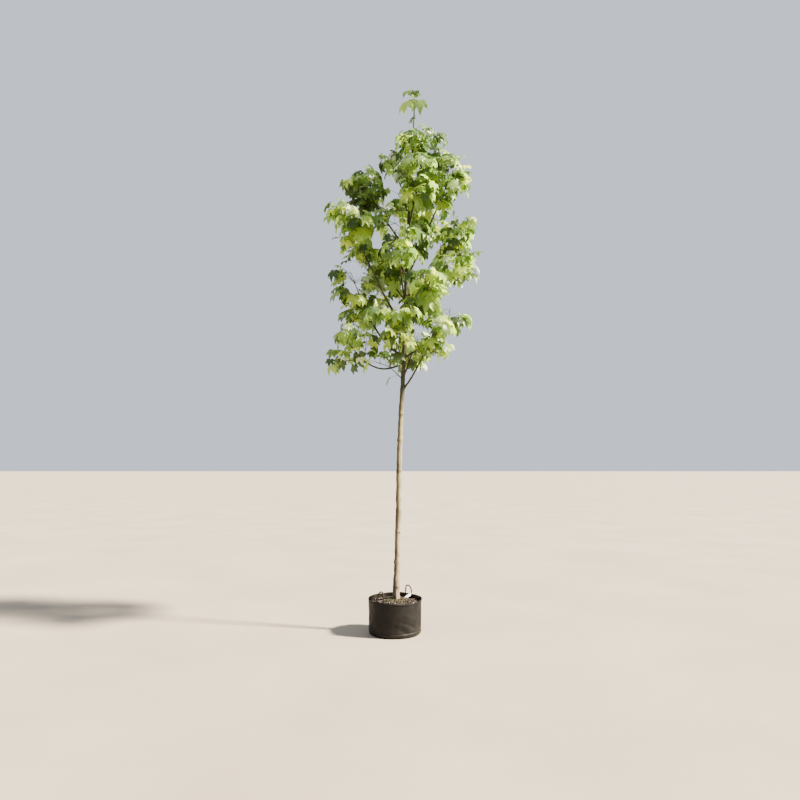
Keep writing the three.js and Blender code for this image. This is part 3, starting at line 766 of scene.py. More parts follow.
def maple_bark():
    """Smooth bark of a young maple: matt beige-grey cork, darkened and greened by painted shade above
    2.2 m, where the crown shades it, and on the side away from the sun."""
    # Fine strands 5 mm wide run up it, level pores 9 mm long and 2 mm high sit between them, and algae
    # tint it in patches of 120 mm. Its sheen is low, so it takes the light softly across the round.
    made, tree = material("smooth_maple_bark")
    place = node(tree, "TexCoord", output="Object")
    height = node(tree, "SeparateXYZ", {0: place}, "Z")
    rise = node(tree, "MapRange", {"Value": height, "From Min": 0.3, "From Max": 5.0})
    # From 2.2 m up the tones turn dark and green: painted shade of the crown on the trunk and boughs, and
    # the young wood's own green towards the leader's tip.
    base = node(
        tree, "ValToRGB", {0: rise},
        stops=[(0, "#9d8a77"), (0.12, "#afa48b"), (0.365, "#948d6c"), (0.405, "#2f3321"), (0.6, "#292b1b"),
               (0.85, "#3a3d24"), (1, "#4f5a2e")],
    )
    strands = node(tree, "Mapping", {"Vector": place, "Scale": (200, 200, 16)})
    strand = node(tree, "TexNoise", {"Vector": strands, "Scale": 1.0, "Detail": 4})
    pores = node(tree, "Mapping", {"Vector": place, "Scale": (110, 110, 520)})
    pore = node(tree, "TexNoise", {"Vector": pores, "Scale": 1.0, "Detail": 1})
    pore = node(tree, "MapRange", {"Value": pore, "From Min": 0.62, "From Max": 0.74, "To Max": 0.5})
    patch = node(tree, "TexNoise", {"Vector": place, "Scale": 8, "Detail": 3})
    patch = node(tree, "MapRange", {"Value": patch, "From Min": 0.45, "From Max": 0.7, "To Max": 0.45})
    # Painted shade: the side that faces away from the sun, towards -X, is darkened and greened, and grown
    # adds it to the algae patches.
    facing = node(tree, "SeparateXYZ", {0: node(tree, "NewGeometry", output="Normal")}, "X")
    painted_side_shade = node(tree, "MapRange", {"Value": facing, "From Min": 0.1, "From Max": -0.6, "To Max": 0.8})
    grown = node(tree, "Math", {0: patch, 1: painted_side_shade}, operation="ADD")
    shade = node(tree, "MapRange", {"Value": strand, "From Min": 0.3, "From Max": 0.75, "To Max": 0.5})
    scar = node(tree, "Attribute", output="Fac", attribute_name="scar")
    for amount, tint in [(grown, "#454029"), (shade, "#544c3a"), (pore, "#3f3527"), (scar, "#35291d")]:
        base = node(tree, "Mix", {0: amount, 6: base, 7: colour(tint)}, 2, data_type="RGBA")
    relief = node(tree, "Math", {0: strand, 1: pore}, operation="ADD")
    surface(tree, base, {"Roughness": 0.72}, relief, 0.5, 0.0008)
    return made


def twig_bark():
    """Young shoots' bark: thin, smooth and faintly glossy, olive-brown with pale pores."""
    # Its tone drifts over 160 mm from brown to green, and the pores are 4 mm across.
    made, tree = material("young_shoot_bark")
    place = node(tree, "TexCoord", output="Object")
    fleck = node(tree, "TexNoise", {"Vector": place, "Scale": 260, "Detail": 2})
    drift = node(tree, "TexNoise", {"Vector": place, "Scale": 6, "Detail": 2})
    tone = node(tree, "ValToRGB", {0: drift}, stops=[(0.3, "#2c2315"), (0.5, "#352f1c"), (0.7, "#424123")])
    pale = node(tree, "MapRange", {"Value": fleck, "From Min": 0.6, "From Max": 0.72, "To Max": 0.6})
    base = node(tree, "Mix", {0: pale, 6: tone, 7: colour("#5f5844")}, 2, data_type="RGBA")
    surface(tree, base, {"Roughness": 0.55}, fleck, 0.4, 0.0004)
    return made


def leaf_stalk():
    """Leaf stalks: juicy and smooth, so faintly glossy, and yellow-green with a red flush every 110
    mm."""
    return grained("leaf_stalk", [(0.35, "#7a874c"), (0.55, "#777343"), (0.75, "#6f4d3b")], 9, 2, 0.45)


def leaf_blade(name, blade, vein, glow):
    """A thin leaf blade: waxed above, with paler veins that run from the stalk into each lobe, and it
    glows where light comes through it."""
    # The wax gives a soft sky-coloured sheen, and light through the blade gives the yellow-green of its
    # inside.
    made, tree = material(name)
    plan = {0: node(tree, "TexCoord", output="UV"), 1: (0.5, 0.5, 0)}
    flat = node(tree, "VectorMath", plan, operation="SUBTRACT")
    side, ahead = (node(tree, "SeparateXYZ", {0: flat}, way) for way in "XY")
    angle = node(tree, "Math", {0: side, 1: ahead}, operation="ARCTAN2")
    off = node(tree, "Math", {0: angle, 1: float(np.radians(LOBE_ANGLE / 2))}, operation="PINGPONG")
    reach = node(tree, "VectorMath", {0: flat}, "Value", operation="LENGTH")
    across = node(tree, "Math", {0: off, 1: reach}, operation="MULTIPLY")
    edge = {"Value": across, "From Min": 0.004, "From Max": 0.016, "To Min": 0.75, "To Max": 0}
    rib = node(tree, "MapRange", edge)
    place = node(tree, "TexCoord", output="Object")
    drift = node(tree, "TexNoise", {"Vector": place, "Scale": 11, "Detail": 3})
    drift = node(tree, "MapRange", {"Value": drift, "From Min": 0.35, "From Max": 0.65, "To Max": 0.5})
    toned = node(tree, "Mix", {0: drift, 6: colour(blade[0]), 7: colour(blade[1])}, 2, data_type="RGBA")
    base = node(tree, "Mix", {0: rib, 6: toned, 7: colour(vein)}, 2, data_type="RGBA")
    bump = node(tree, "Bump", {"Height": rib, "Strength": 0.35, "Distance": 0.001})
    wax = {"Roughness": 0.4, "Coat Weight": 0.3, "Coat Roughness": 0.28}
    waxed = node(tree, "BsdfPrincipled", {"Base Color": base, "Normal": bump, **wax})
    through = node(tree, "BsdfTranslucent", {"Color": colour(glow)})
    node(tree, "OutputMaterial", {"Surface": node(tree, "MixShader", {0: 0.5, 1: waxed, 2: through})})
    return made


# Each leaf colour: two blade tones, veins, the light that comes through, and how often it is dealt out on
# the crown's sunny right, on its left, and inside it. These odds paint light and shade: bright colours
# come more often on the sunny right and deep ones inside, where the crown is shaded. The pale colour
# stands for pale undersides and for painted sky reflection.
LeafColour = namedtuple("LeafColour", "tones vein glow right left inside")
LEAF_COLOURS = {
    "bright": LeafColour(("#98b35b", "#aac174"), "#d0dcb1", "#e9fb85", 3, 2, 1),
    "fresh": LeafColour(("#759054", "#869e68"), "#adbf9c", "#c0df7c", 4, 4, 3),
    "mid": LeafColour(("#546c40", "#617a4f"), "#879a7b", "#96b567", 4, 4, 4),
    "deep": LeafColour(("#35462d", "#3e5336"), "#657657", "#6a8550", 3, 3, 4),
    "pale": LeafColour(("#a7b9a7", "#b7c6ba"), "#d8e1dd", "#e1f4be", 0.9, 0.8, 0.5),
}
TAPE = 0.0025  # the width of one tape in the bag's cloth
WAVE_LENGTH = 2 * np.pi / 20  # of a wave texture at scale 1


def woven_laminate(name, dark, light, roughness, coat):
    """The bag's cloth: woven plastic tape under a thin plastic film."""
    # The tapes' crossings show through the film as a fine grid, dust clings to it in patches of 70 mm and
    # more so near the ground, and the film gives soft glints.
    made, tree = material(name)
    cloth = node(tree, "TexCoord", output="UV")
    tapes = {"Vector": cloth, "Scale": WAVE_LENGTH / TAPE, "Distortion": 0.2}
    across, along = (node(tree, "TexWave", tapes, 1, bands_direction=way) for way in "XY")
    crossing = node(tree, "Math", {0: across, 1: along}, operation="MULTIPLY")
    place = node(tree, "TexCoord", output="Object")
    dust = node(tree, "TexNoise", {"Vector": place, "Scale": 14, "Detail": 6})
    height = node(tree, "SeparateXYZ", {0: place}, "Z")
    near_ground = {"Value": height, "From Min": 0, "From Max": 0.12, "To Min": 0.3, "To Max": 0}
    low = node(tree, "MapRange", near_ground)
    dusty = node(tree, "Math", {0: dust, 1: low}, operation="ADD")
    worn = node(tree, "MapRange", {"Value": dusty, "From Min": 0.45, "From Max": 1.0})
    base = node(tree, "Mix", {0: worn, 6: colour(dark), 7: colour(light)}, 2, data_type="RGBA")
    film = {"Roughness": roughness, "Specular IOR Level": 0.32, "Coat Weight": coat, "Coat Roughness": 0.3}
    surface(tree, base, film, crossing, 0.5, 0.0004)
    return made


def crumbs(name, stops, patch):
    """Loose bits of the bed, such as soil, bark mulch or moss: dull and gritty, and each a little
    different."""
    return grained(name, stops, 1 / patch, 4, 0.9, grit=(900, 2), strength=0.6, depth=0.0008)


def black_rope():
    """Twisted plastic rope: black split-film fibre 1.4 mm wide, with a faint gloss along each strand."""
    stops = [(0.35, "#0b0909"), (0.75, "#1d1a1a")]
    return grained("twisted_plastic_rope", stops, 700, 3, 0.55, grit=(700, 3), strength=0.5, depth=0.0005)


def blank_label():
    """A blank label: white vinyl with a satin face, lightly soiled in patches of 17 mm."""
    return grained("white_vinyl_label", [(0.35, "#fdfafc"), (0.8, "#e6e1e2")], 60, 4, 0.38)


def pale_floor():
    """The plain pale floor: matt, and faintly mottled over 1.4 m."""
    return grained("pale_floor", [(0.3, "#a69b8b"), (0.7, "#b0a595")], 0.7, 5, 0.85)


# The trunk and the boughs

# How many rings each kind of tube has along it, and how many corners round it
RINGS = Sizes(trunk=620, bough=60, stem=40, twig=7, stalk=6)
SIDES = Sizes(trunk=48, bough=16, stem=10, twig=6, stalk=4, strand=8, thread=5, strip=20, bed=240, bag=288)
ROOT_RIBS = Sizes(count=5, turn=0.6, proud=0.0035, reach=0.05)
BURIED = 0.012  # how far the trunk goes on into the soil's crumbs
STRANDS = Sizes(proud=0.0007, size=0.02, stretch=4)  # fine relief, drawn out along the trunk
SWELLS = Sizes(proud=0.0014, size=0.09)
# Where the trunk's first branches were pruned off. Each node is a ring that swells more on one side, with
# a dark groove under it, and two oval scars whose middles are sunk.
PRUNED_NODES = [0.423, 0.653, 0.928, 1.231, 1.487, 1.772, 2.001]
NODE_RING = Sizes(waver=0.003, turn=2.2, proud=0.0026, reach=0.018, least=0.35, below=0.004)
NODE_GROOVE = Sizes(depth=0.0007, reach=0.004, tint=0.35, tint_reach=0.006)
SCAR = Sizes(
    half_width=0.012, half_height=0.013, turn=1.1, proud=0.004, depth=0.0026, hollow=0.45, tint=0.9,
    tint_reach=0.6,
)


def trunk_mesh():
    """The trunk's surface over height and turn: its radius, root ribs that fade upwards, the pruned
    nodes' bell curves, and fine relief. It also gives how dark each vertex's scar is."""
    share = np.linspace(0, trunk_share(TRUNK.top) + 1e-4, RINGS.trunk)[:, None]
    turn = 2 * np.pi * np.arange(SIDES.trunk)[None] / SIDES.trunk
    middle = trunk_line.at(share[:, 0])[:, None]
    height = middle[..., 2]
    radius = trunk_radius(share)
    ribs = ROOT_RIBS.proud * np.cos(ROOT_RIBS.count * turn + ROOT_RIBS.turn)
    proud = radius + ribs * np.exp(-(height - SOIL.crest) / ROOT_RIBS.reach)
    scars = 0.0
    for number, node_height in enumerate(PRUNED_NODES):
        above = height - node_height + NODE_RING.waver * np.sin(turn + number)
        groove = above + NODE_RING.below
        fuller = 0.5 + 0.5 * np.cos(turn - NODE_RING.turn * number)
        one_sided = NODE_RING.least + (1 - NODE_RING.least) * fuller
        proud = proud + NODE_RING.proud * hump(above, NODE_RING.reach) * one_sided
        proud = proud - NODE_GROOVE.depth * hump(groove, NODE_GROOVE.reach) * fuller
        scars = scars + NODE_GROOVE.tint * hump(groove, NODE_GROOVE.tint_reach) * fuller**2
        for way in (0, np.pi):
            apart = np.angle(np.exp(1j * (turn - number * np.pi / 2 - way + SCAR.turn)))
            away = np.hypot(apart * radius / SCAR.half_width, above / SCAR.half_height)
            proud = proud + SCAR.proud * hump(away, 1) - SCAR.depth * hump(away, SCAR.hollow)
            scars = scars + SCAR.tint * hump(away, SCAR.tint_reach)
    around = outward(np.degrees(turn))
    skin = middle + around * radius[..., None]
    strands = STRANDS.proud * ripple(skin * np.array([1, 1, 1 / STRANDS.stretch]), STRANDS.size, 5)
    rings = middle + around * (proud + strands + SWELLS.proud * ripple(skin, SWELLS.size, 6))[..., None]
    rings[0, :, 2] -= BURIED
    scars = np.broadcast_to(scars, rings.shape[:2]).ravel()
    return *ringed(rings[None]), np.concatenate([scars, [0.0, 0.0]])


COLLAR = Sizes(swelling=0.7, reach=0.012)
KNUCKLE = Sizes(spacing=0.09, swelling=0.12, reach=0.006)
BOUGH_RELIEF = 0.09  # as a share of the bough's radius


def bough_meshes():
    """Each bough's surface: a collar that swells into the trunk, its taper, knuckles every 90 mm and fine
    relief."""
    parts = []
    for mass in boughs:
        share = np.linspace(0, mass.bare, RINGS.bough)
        path = mass.line.at(share)[None]
        along = share * mass.line.length
        trunk = trunk_radius(trunk_share(path[0, 0, 2]))
        collar = COLLAR.swelling * np.exp(-np.maximum(along - trunk, 0) / COLLAR.reach)
        knuckle = KNUCKLE.swelling * hump(along % KNUCKLE.spacing - KNUCKLE.spacing / 2, KNUCKLE.reach)
        radii = mass.radius_at(share) * (1 + collar + knuckle)
        rings = tube_rings(path, radii[None], mass.line.across[None], SIDES.bough)
        uneven = BOUGH_RELIEF * ripple(rings, STRANDS.size, mass.seed)[..., None]
        parts.append(ringed(rings + (rings - path[:, :, None]) * uneven))
    return joined(parts)


# A stem starts a little inside its bough, by a share of its line, and thins by another share to its tip
STEM = Sizes(back=0.002, thinning=0.45, relief=0.0004)


def shoot_meshes(shoots):
    """The stems and twigs: stems as the solids have them, thinned to their tips, and twigs in a thin
    taper."""
    parts = []
    for stem in [shoot for shoot in shoots if hasattr(shoot, "radius_at")]:
        share = np.linspace(stem.start - STEM.back, 1, RINGS.stem)
        thinning = 1 - STEM.thinning * ((share - stem.start) / (1 - stem.start)).clip(0, 1) ** 2
        radii = stem.radius_at(share) * thinning
        rings = tube_rings(stem.line.at(share)[None], radii[None], stem.line.across[None], SIDES.stem)
        parts.append(ringed(rings + STEM.relief * ripple(rings, STRANDS.size, 11)[..., None]))
    twigs = [shoot for shoot in shoots if not hasattr(shoot, "radius_at")]
    share = np.linspace(0, 1, RINGS.twig)
    paths = np.array([twig.line.at(share) for twig in twigs])
    radii = np.array([twig.radius + (twig.tip_radius - twig.radius) * share for twig in twigs])
    across = np.array([twig.line.across for twig in twigs])
    parts.append(ringed(tube_rings(paths, radii, across, SIDES.twig)))
    return joined(parts)


def stalk_meshes(leaves):
    """The leaf stalks: each follows a quadratic curve from the twig over its bend to the blade, thick at
    its foot."""
    share = np.linspace(0, 1, RINGS.stalk)[:, None]
    root, bend, junction = (column(leaves, part)[:, None] for part in ("root", "bend", "junction"))
    paths = root * (1 - share) ** 2 + bend * 2 * share * (1 - share) + junction * share**2
    radii = STALK.radius + (STALK.foot_radius - STALK.radius) * (1 - share[:, 0]) ** 3
    across = np.cross(junction[:, 0] - root[:, 0], UP) + 1e-6
    return ringed(tube_rings(paths, np.broadcast_to(radii, paths.shape[:2]), unit(across), SIDES.stalk))


def blade_meshes(leaves):
    """One joined mesh of blades, and its uv: the blade's plan about the middle of the map."""
    vertices = blade_vertices(leaves).reshape(-1, 3)
    offsets = np.arange(len(leaves))[:, None, None] * len(blade_points)
    uv = np.tile(blade_points * 0.5 + 0.5, (len(leaves), 1))
    return vertices, [(blade_faces + offsets).reshape(-1, 3)], uv


# The bag and what is in it

# The rim dips at the front right and has small waves, each with its count round the bag, its turn and its
# height.
RIM_DIP = Sizes(azimuth=298, width=24, depth=0.012)
RIM_WAVES = [(5, 40, 0.002), (11, 0, 0.0012)]
RIM_LEANS = [(330, 40, 0.006), (200, 40, 0.003), (262, 30, -0.004)]  # each one's azimuth, width and way out
LEAN_FROM = Sizes(height=0.27, reach=0.06)
WALL_BULGES = [(0.0022, 0.22, 21), (0.0008, 0.06, 22)]  # each one's height, size and seed
# Soft creases in the bag's wall: two ends as azimuth and height, the depth (in or out) and the width.
CREASES = [
    ((284, 0.150), (312, 0.095), -0.0024, 0.017),
    ((290, 0.205), (318, 0.160), 0.0028, 0.022),
    ((296, 0.110), (322, 0.045), 0.0018, 0.020),
    ((270, 0.105), (300, 0.040), -0.0030, 0.018),
    ((238, 0.140), (239, 0.020), -0.0060, 0.008),
    ((222, 0.250), (226, 0.120), 0.0030, 0.022),
    ((205, 0.180), (188, 0.060), -0.0035, 0.016),
    ((332, 0.240), (336, 0.090), -0.0030, 0.020),
    ((20, 0.230), (48, 0.120), 0.0035, 0.020),
    ((70, 0.120), (92, 0.050), -0.0040, 0.014),
    ((112, 0.240), (126, 0.110), -0.0035, 0.018),
    ((150, 0.160), (170, 0.060), 0.0035, 0.018),
]
# The seam where the bag's wall is sewn to its floor panel: a roll with a groove above it
SEAM = Sizes(
    height=0.034, sag=0.004, roll=0.0025, roll_reach=0.004, groove=0.0025, groove_up=0.011,
    groove_reach=0.005,
)
# The hem's bulge, its rounded edge, the height below which the wall ends, and its foot's share of the
# rim's height
HEM = Sizes(bulge=0.0006, edge=0.002, wall_gap=0.0015, foot_share=0.82)
BURIED_INSET = 0.005  # how far in the wall's buried part stands, clear of the creases outside
OPEN_TO = 0.24  # the height down to which the wall's open inside reaches
BURIED_FROM = 0.22
# The innermost station of a floor, and how far from the foot's bend the straight rows end
ROWS = Sizes(middle=0.02, floor=0.004, wall=0.003, inside=0.006)


def turn_from(azimuth, middle):
    """The turn from one azimuth to another, from -180 to 180 degrees."""
    return (azimuth - middle + 180) % 360 - 180


def rim_height(azimuth):
    """The rim's height: lower towards the viewer, with a dip at the front right and small waves."""
    towards = 0.5 - 0.5 * np.sin(np.radians(azimuth))
    dip = RIM_DIP.depth * hump(turn_from(azimuth, RIM_DIP.azimuth), RIM_DIP.width)
    waves = sum(height * np.sin(np.radians(count * azimuth + turn)) for count, turn, height in RIM_WAVES)
    return BAG.height - BAG.front_dip * towards - dip + waves


def seam_height(azimuth):
    """The seam's height, which rises and falls in a slow wave round the bag."""
    return SEAM.height + SEAM.sag * np.sin(np.radians(3 * azimuth + 200))


def wall_offset(azimuth, height):
    """How far the bag's wall stands out of its plain round: wide bulges, soft creases, which are bell
    curves of the distance from their lines, the foot's seam, and a lean at the rim."""
    azimuth, height = np.broadcast_arrays(azimuth, height)
    points = round_points(azimuth, BAG.radius, height)
    offset = sum(proud * ripple(points, size, seed) for proud, size, seed in WALL_BULGES)
    for (first_azimuth, first_height), (last_azimuth, last_height), depth, width in CREASES:
        across = turn_from(azimuth, first_azimuth) * np.radians(BAG.radius)
        run = turn_from(last_azimuth, first_azimuth) * np.radians(BAG.radius)
        fall = last_height - first_height
        along = np.clip((across * run + (height - first_height) * fall) / (run**2 + fall**2), 0, 1)
        away = np.hypot(across - along * run, height - first_height - along * fall)
        offset = offset + depth * hump(away, width)
    above_seam = height - seam_height(azimuth)
    offset = offset + SEAM.roll * hump(above_seam, SEAM.roll_reach)
    offset = offset - SEAM.groove * hump(above_seam - SEAM.groove_up, SEAM.groove_reach)
    lean = sum(out * hump(turn_from(azimuth, middle), width) for middle, width, out in RIM_LEANS)
    near_rim = np.clip((height - LEAN_FROM.height) / LEAN_FROM.reach, 0, 1) ** 2
    return offset * np.clip(height / SEAM.height, 0, 1) + near_rim * lean


def bag_stations():
    """The bag's section from the middle of its floor out, up its wall, over the hem and down inside, and
    how many of its stations lie outside. Each has its radius, the share of the wall's offset, its height,
    and the share of the rim's own height."""
    bend = BAG.corner
    hem_foot = BAG.height - BAG.hem
    proud = BAG.radius + BAG.hem_proud
    half = (BAG.hem_proud + BAG.wall) / 2
    inside = BAG.radius - BAG.wall
    buried = inside - BURIED_INSET

    # Rows of stations along the floor, in a quarter round at the foot, and straight along the wall
    def floor(first, last, count, height):
        return [(radius, 0.0, height, 0.0) for radius in np.linspace(first, last, count)]

    def corner(radius, height, first, last):
        turns = [(np.sin(angle), 1 - np.cos(angle)) for angle in np.linspace(first, last, 10)]
        return [(radius - bend + bend * out, out, height + bend * up, 0.0) for out, up in turns]

    def wall(radius, first, last, count):
        return [(radius, 1.0, z, (z / BAG.height) ** 3) for z in np.linspace(first, last, count)]

    hem = [(proud - HEM.bulge, 1.0, hem_foot, HEM.foot_share)]
    for s in np.linspace(0.04, 1, 12):
        out, up = HEM.bulge * np.sin(s * np.pi), s * (BAG.hem - HEM.edge)
        hem.append((proud + out, 1.0, hem_foot + up, HEM.foot_share + (1 - HEM.foot_share) * s))
    for angle in np.linspace(0.3, np.pi - 0.3, 7):
        up = HEM.edge * np.sin(angle)
        hem.append((proud - half + half * np.cos(angle), 1.0, BAG.height - HEM.edge + up, 1.0))
    outer = [
        *floor(ROWS.middle, BAG.radius - bend - ROWS.floor, 6, 0.0),
        *corner(BAG.radius, 0.0, 0, np.pi / 2),
        *wall(BAG.radius, bend + ROWS.wall, hem_foot - HEM.wall_gap, 84),
        *hem,
    ]
    inner = [
        *wall(inside, BAG.height - 2 * HEM.edge, OPEN_TO, 30),
        *wall(buried, BURIED_FROM, bend + ROWS.inside, 12),
        *corner(buried, BAG.wall, np.pi / 2, 0),
        *floor(BAG.radius - bend - ROWS.inside, ROWS.middle, 5, BAG.wall),
    ]
    return np.array(outer + inner), len(outer)


def bag_rings(stations):
    """The stations turned round the bag, with the rim's height and the wall's offset worked in."""
    azimuth = (np.arange(SIDES.bag) * 360 / SIDES.bag)[None]
    radius, offset_share, height, rim_share = (values[:, None] for values in stations.T)
    height = height + (rim_height(azimuth) - BAG.height) * rim_share
    return round_points(azimuth, radius + wall_offset(azimuth, height) * offset_share, height)


def grid_uv(rings, round_length):
    """A uv in metres for rings: the way round, and the way along the section, as one row for each
    vertex."""
    steps = np.linalg.norm(np.diff(rings, axis=0), axis=-1).mean(1)
    along = np.concatenate([[0], np.cumsum(steps)])
    sides = rings.shape[1]
    around = np.arange(sides) / sides * round_length
    grid = np.stack(np.broadcast_arrays(around[None], along[:, None]), -1).reshape(-1, 2)
    return np.concatenate([grid, [[0, along[0]], [0, along[-1]]]])


def bag_piece(cloth, lining):
    """The bag: one closed shell whose outside and hem are cloth and whose inside is the cloth's back."""
    stations, outside = bag_stations()
    rings = bag_rings(stations)
    uv = grid_uv(rings, 2 * np.pi * BAG.radius)
    made = piece("bag_shell", *ringed(rings[None]), cloth, "bag", uv=uv, replaces=["bag"])
    made.data.materials.append(lining)
    inside = np.zeros(len(made.data.polygons), np.int32)
    inside[outside * SIDES.bag : (len(rings) - 1) * SIDES.bag] = 1
    made.data.polygons.foreach_set("material_index", inside)


def soil_height(distance):
    """The bed's plain height: level round the trunk, then an even fall to the wall."""
    fall = np.maximum(distance - SOIL.crest_radius, 0) / (BAG.radius - BAG.wall - SOIL.crest_radius)
    return SOIL.crest - (SOIL.crest - SOIL.edge) * fall


BED_RELIEF = [(0.004, 0.06, 31), (0.0018, 0.014, 32)]  # each one's height, size and seed
LEVEL = Sizes(radius=0.035, fade=0.03, sunk=0.001)  # the level foot round the trunk
BED_CLEAR = 0.0006  # between the bed's edge and the wall, besides the solids' gap


def bed_height(points):
    """The bed's height with lumps of 60 mm and crumbs of 14 mm, which die away at the trunk."""
    distance = np.hypot(points[..., 0], points[..., 1])
    flat = points * np.array([1, 1, 0])
    lumps = sum(proud * ripple(flat, size, seed) for proud, size, seed in BED_RELIEF)
    uneven = np.clip((distance - LEVEL.radius) / LEVEL.fade, 0, 1)
    return soil_height(distance) + lumps * uneven - LEVEL.sunk


# The round that fills the bag below the bed: each ring's height, and its share of the wall's inner radius
FILLING = [
    (BAG.wall + GAP, 0.5), (BAG.wall + GAP, 0.86), (0.014, 0.93), (BAG.corner + 0.006, 0.965), (0.2, 0.965),
]


def bed_mesh():
    """The soil: a bed over distance and turn, and below it the plain round that fills the bag."""
    azimuth = (np.arange(SIDES.bed) * 360 / SIDES.bed)[None]
    inside = BAG.radius - BAG.wall
    edge = inside - GAP + wall_offset(azimuth, SOIL.edge) - BED_CLEAR
    bed = round_points(azimuth, edge * np.linspace(1, 0.02, 70)[:, None], 0.0)
    bed[..., 2] = bed_height(bed)
    sunk = [round_points(azimuth, inside * share, height) for height, share in FILLING]
    return ringed(np.concatenate([*sunk, bed])[None])


CORNERS = [(-1, -1), (1, -1), (1, 1), (-1, 1)]
CHIP = np.array([(x, y, z) for z in (-1, 1) for x, y in CORNERS])
CHIP_SHIFTS = (0.6, 1.1)  # where a chip's corner may lie, as shares of its half sizes
CHIP_PROUD = 0.5  # how far over the bed its middle lies, as a share of its half thickness
CHIP_FACES = np.array([[0, 3, 2, 1], [4, 5, 6, 7], [0, 1, 5, 4], [1, 2, 6, 5], [2, 3, 7, 6], [3, 0, 4, 7]])


def chips(count, reach, smallest, largest, tilt, seed):
    """Loose chips on the bed: boxes with each corner shifted at random, of seeded length, width and
    thickness, turned any way on the level and tipped a little, between two distances from the trunk's
    foot."""
    random = np.random.default_rng(seed)
    distance = np.sqrt(random.uniform(reach[0] ** 2, reach[1] ** 2, count))
    place = outward(random.uniform(0, 360, count)) * distance[:, None]
    place[:, 0] += TRUNK.foot
    half = random.uniform(smallest, largest, (count, 3)) / 2
    corners = CHIP * half[:, None] * random.uniform(*CHIP_SHIFTS, (count, 8, 3))
    length_way = outward(random.uniform(0, 360, count))
    up = unit(UP + tilt * random.normal(size=(count, 3)))
    length_way = square_to(length_way, up)
    width_way = np.cross(up, length_way)
    place[:, 2] = bed_height(place) + half[:, 2] * CHIP_PROUD
    vertices = place[:, None] + corners @ np.stack([length_way, width_way, up], 1)
    faces = CHIP_FACES + 8 * np.arange(count)[:, None, None]
    return vertices.reshape(-1, 3), [faces.reshape(-1, 4)]


def smooth_path(points, count):
    """A Catmull-Rom curve through a list of points: each span is the cubic that leaves and meets its ends
    along the line between their neighbours."""
    points = np.asarray(points, float)
    ends = np.concatenate([[2 * points[0] - points[1]], points, [2 * points[-1] - points[-2]]])
    place = np.linspace(0, len(points) - 1, count)
    span = np.minimum(place.astype(int), len(points) - 2)
    t = (place - span)[:, None]
    before, first, last, after = (ends[span + i] for i in range(4))
    return 0.5 * (
        2 * first + (last - before) * t + (2 * before - 5 * first + 4 * last - after) * t**2
        + (3 * first - before - 3 * last + after) * t**3
    )


# A strand's radius is a share of the rope's diameter, and the strands overlap. A handle stays clear of
# the wall.
ROPE = Sizes(strand=0.34, overlap=0.85, lay=0.032, clear=0.0013)


def handle_path(azimuth):
    """A handle's line, as the solids have it: two upright legs inside the wall and a loop that leans
    in."""
    reach = BAG.radius - BAG.wall - GAP - HANDLE.rope / 2 - ROPE.clear
    leg_radius = np.sqrt(reach**2 - (HANDLE.span / 2) ** 2)
    rim = BAG.height - BAG.front_dip / 2
    # Each point has its share of half the span, its height and its share of the lean
    shoulder = [(0.94, rim + HANDLE.rise * 0.5, 0.3), (0.6, rim + HANDLE.rise * 0.88, 0.8)]
    half = [(1, SOIL.edge - 0.004, 0), (1, rim, 0), *shoulder]
    loop = [*half, (0, rim + HANDLE.rise, 1), *[(-across, z, lean) for across, z, lean in half[::-1]]]
    side = outward(azimuth + 90) * HANDLE.span / 2
    points = [outward(azimuth) * (leg_radius - lean * HANDLE.lean) + side * across + UP * z
              for across, z, lean in loop]
    return smooth_path(points, 170)


def rope_mesh(azimuth):
    """Twisted rope: three round strands wind about the handle's line in a helix, a third of a turn
    apart."""
    path = handle_path(azimuth)
    run = np.concatenate([[0], np.cumsum(np.linalg.norm(np.diff(path, axis=0), axis=1))])
    tangent = unit(np.gradient(path, axis=0))
    side = square_to(np.broadcast_to(outward(azimuth), path.shape), tangent)
    other = np.cross(tangent, side)
    strand = HANDLE.rope * ROPE.strand
    offset = HANDLE.rope / 2 - strand * ROPE.overlap
    turn = 2 * np.pi * (run / ROPE.lay + np.arange(3)[:, None] / 3)
    strands = path + offset * (side * np.cos(turn)[..., None] + other * np.sin(turn)[..., None])
    radii = np.full(strands.shape[:2], strand)
    return ringed(tube_rings(strands, radii, np.repeat(outward(azimuth)[None], 3, 0), SIDES.strand))


SQUARENESS = 0.35  # the superellipse's power: 1 is round, and 0 is a box with sharp corners


def strip_rings(path, width_way, widths, thickness):
    """A flat strip along a path: each ring is a box section with rounded corners, a superellipse, wide
    along the width way."""
    tangent = unit(np.gradient(path, axis=0))
    width_way = square_to(np.broadcast_to(width_way, path.shape), tangent)
    face = np.cross(tangent, width_way)
    turn = 2 * np.pi * np.arange(SIDES.strip) / SIDES.strip
    wide, thick = (np.sign(wave) * np.abs(wave) ** SQUARENESS for wave in (np.cos(turn), np.sin(turn)))
    across = width_way[:, None] * (widths[:, None] / 2 * wide)[..., None]
    return path[:, None] + across + face[:, None] * (thickness / 2 * thick)[None, :, None]


# How the label hangs, against its solid: turned and tilted further, and a little towards the viewer and
# down
HUNG = Sizes(turn=18, tilt=14, lean=6, shift=(0, -0.010, -0.005), bow=0.003)
LABEL_END = Sizes(start=0.86, least=0.04)  # where the ends begin to round off, and how narrow they get
# The label's tail: it leaves the label, winds round the handle's leg, climbs a little by the degree and
# ends free
TAIL = Sizes(
    width=0.006, thickness=0.0009, back=0.006, out=0.004, leg=0.2274, loop=0.0072, height=0.332, climb=2e-5
)
TAIL_TURNS = (-150, -95, -40, 15)
TAIL_END = Sizes(azimuth=20, reach=0.017, height=0.343)


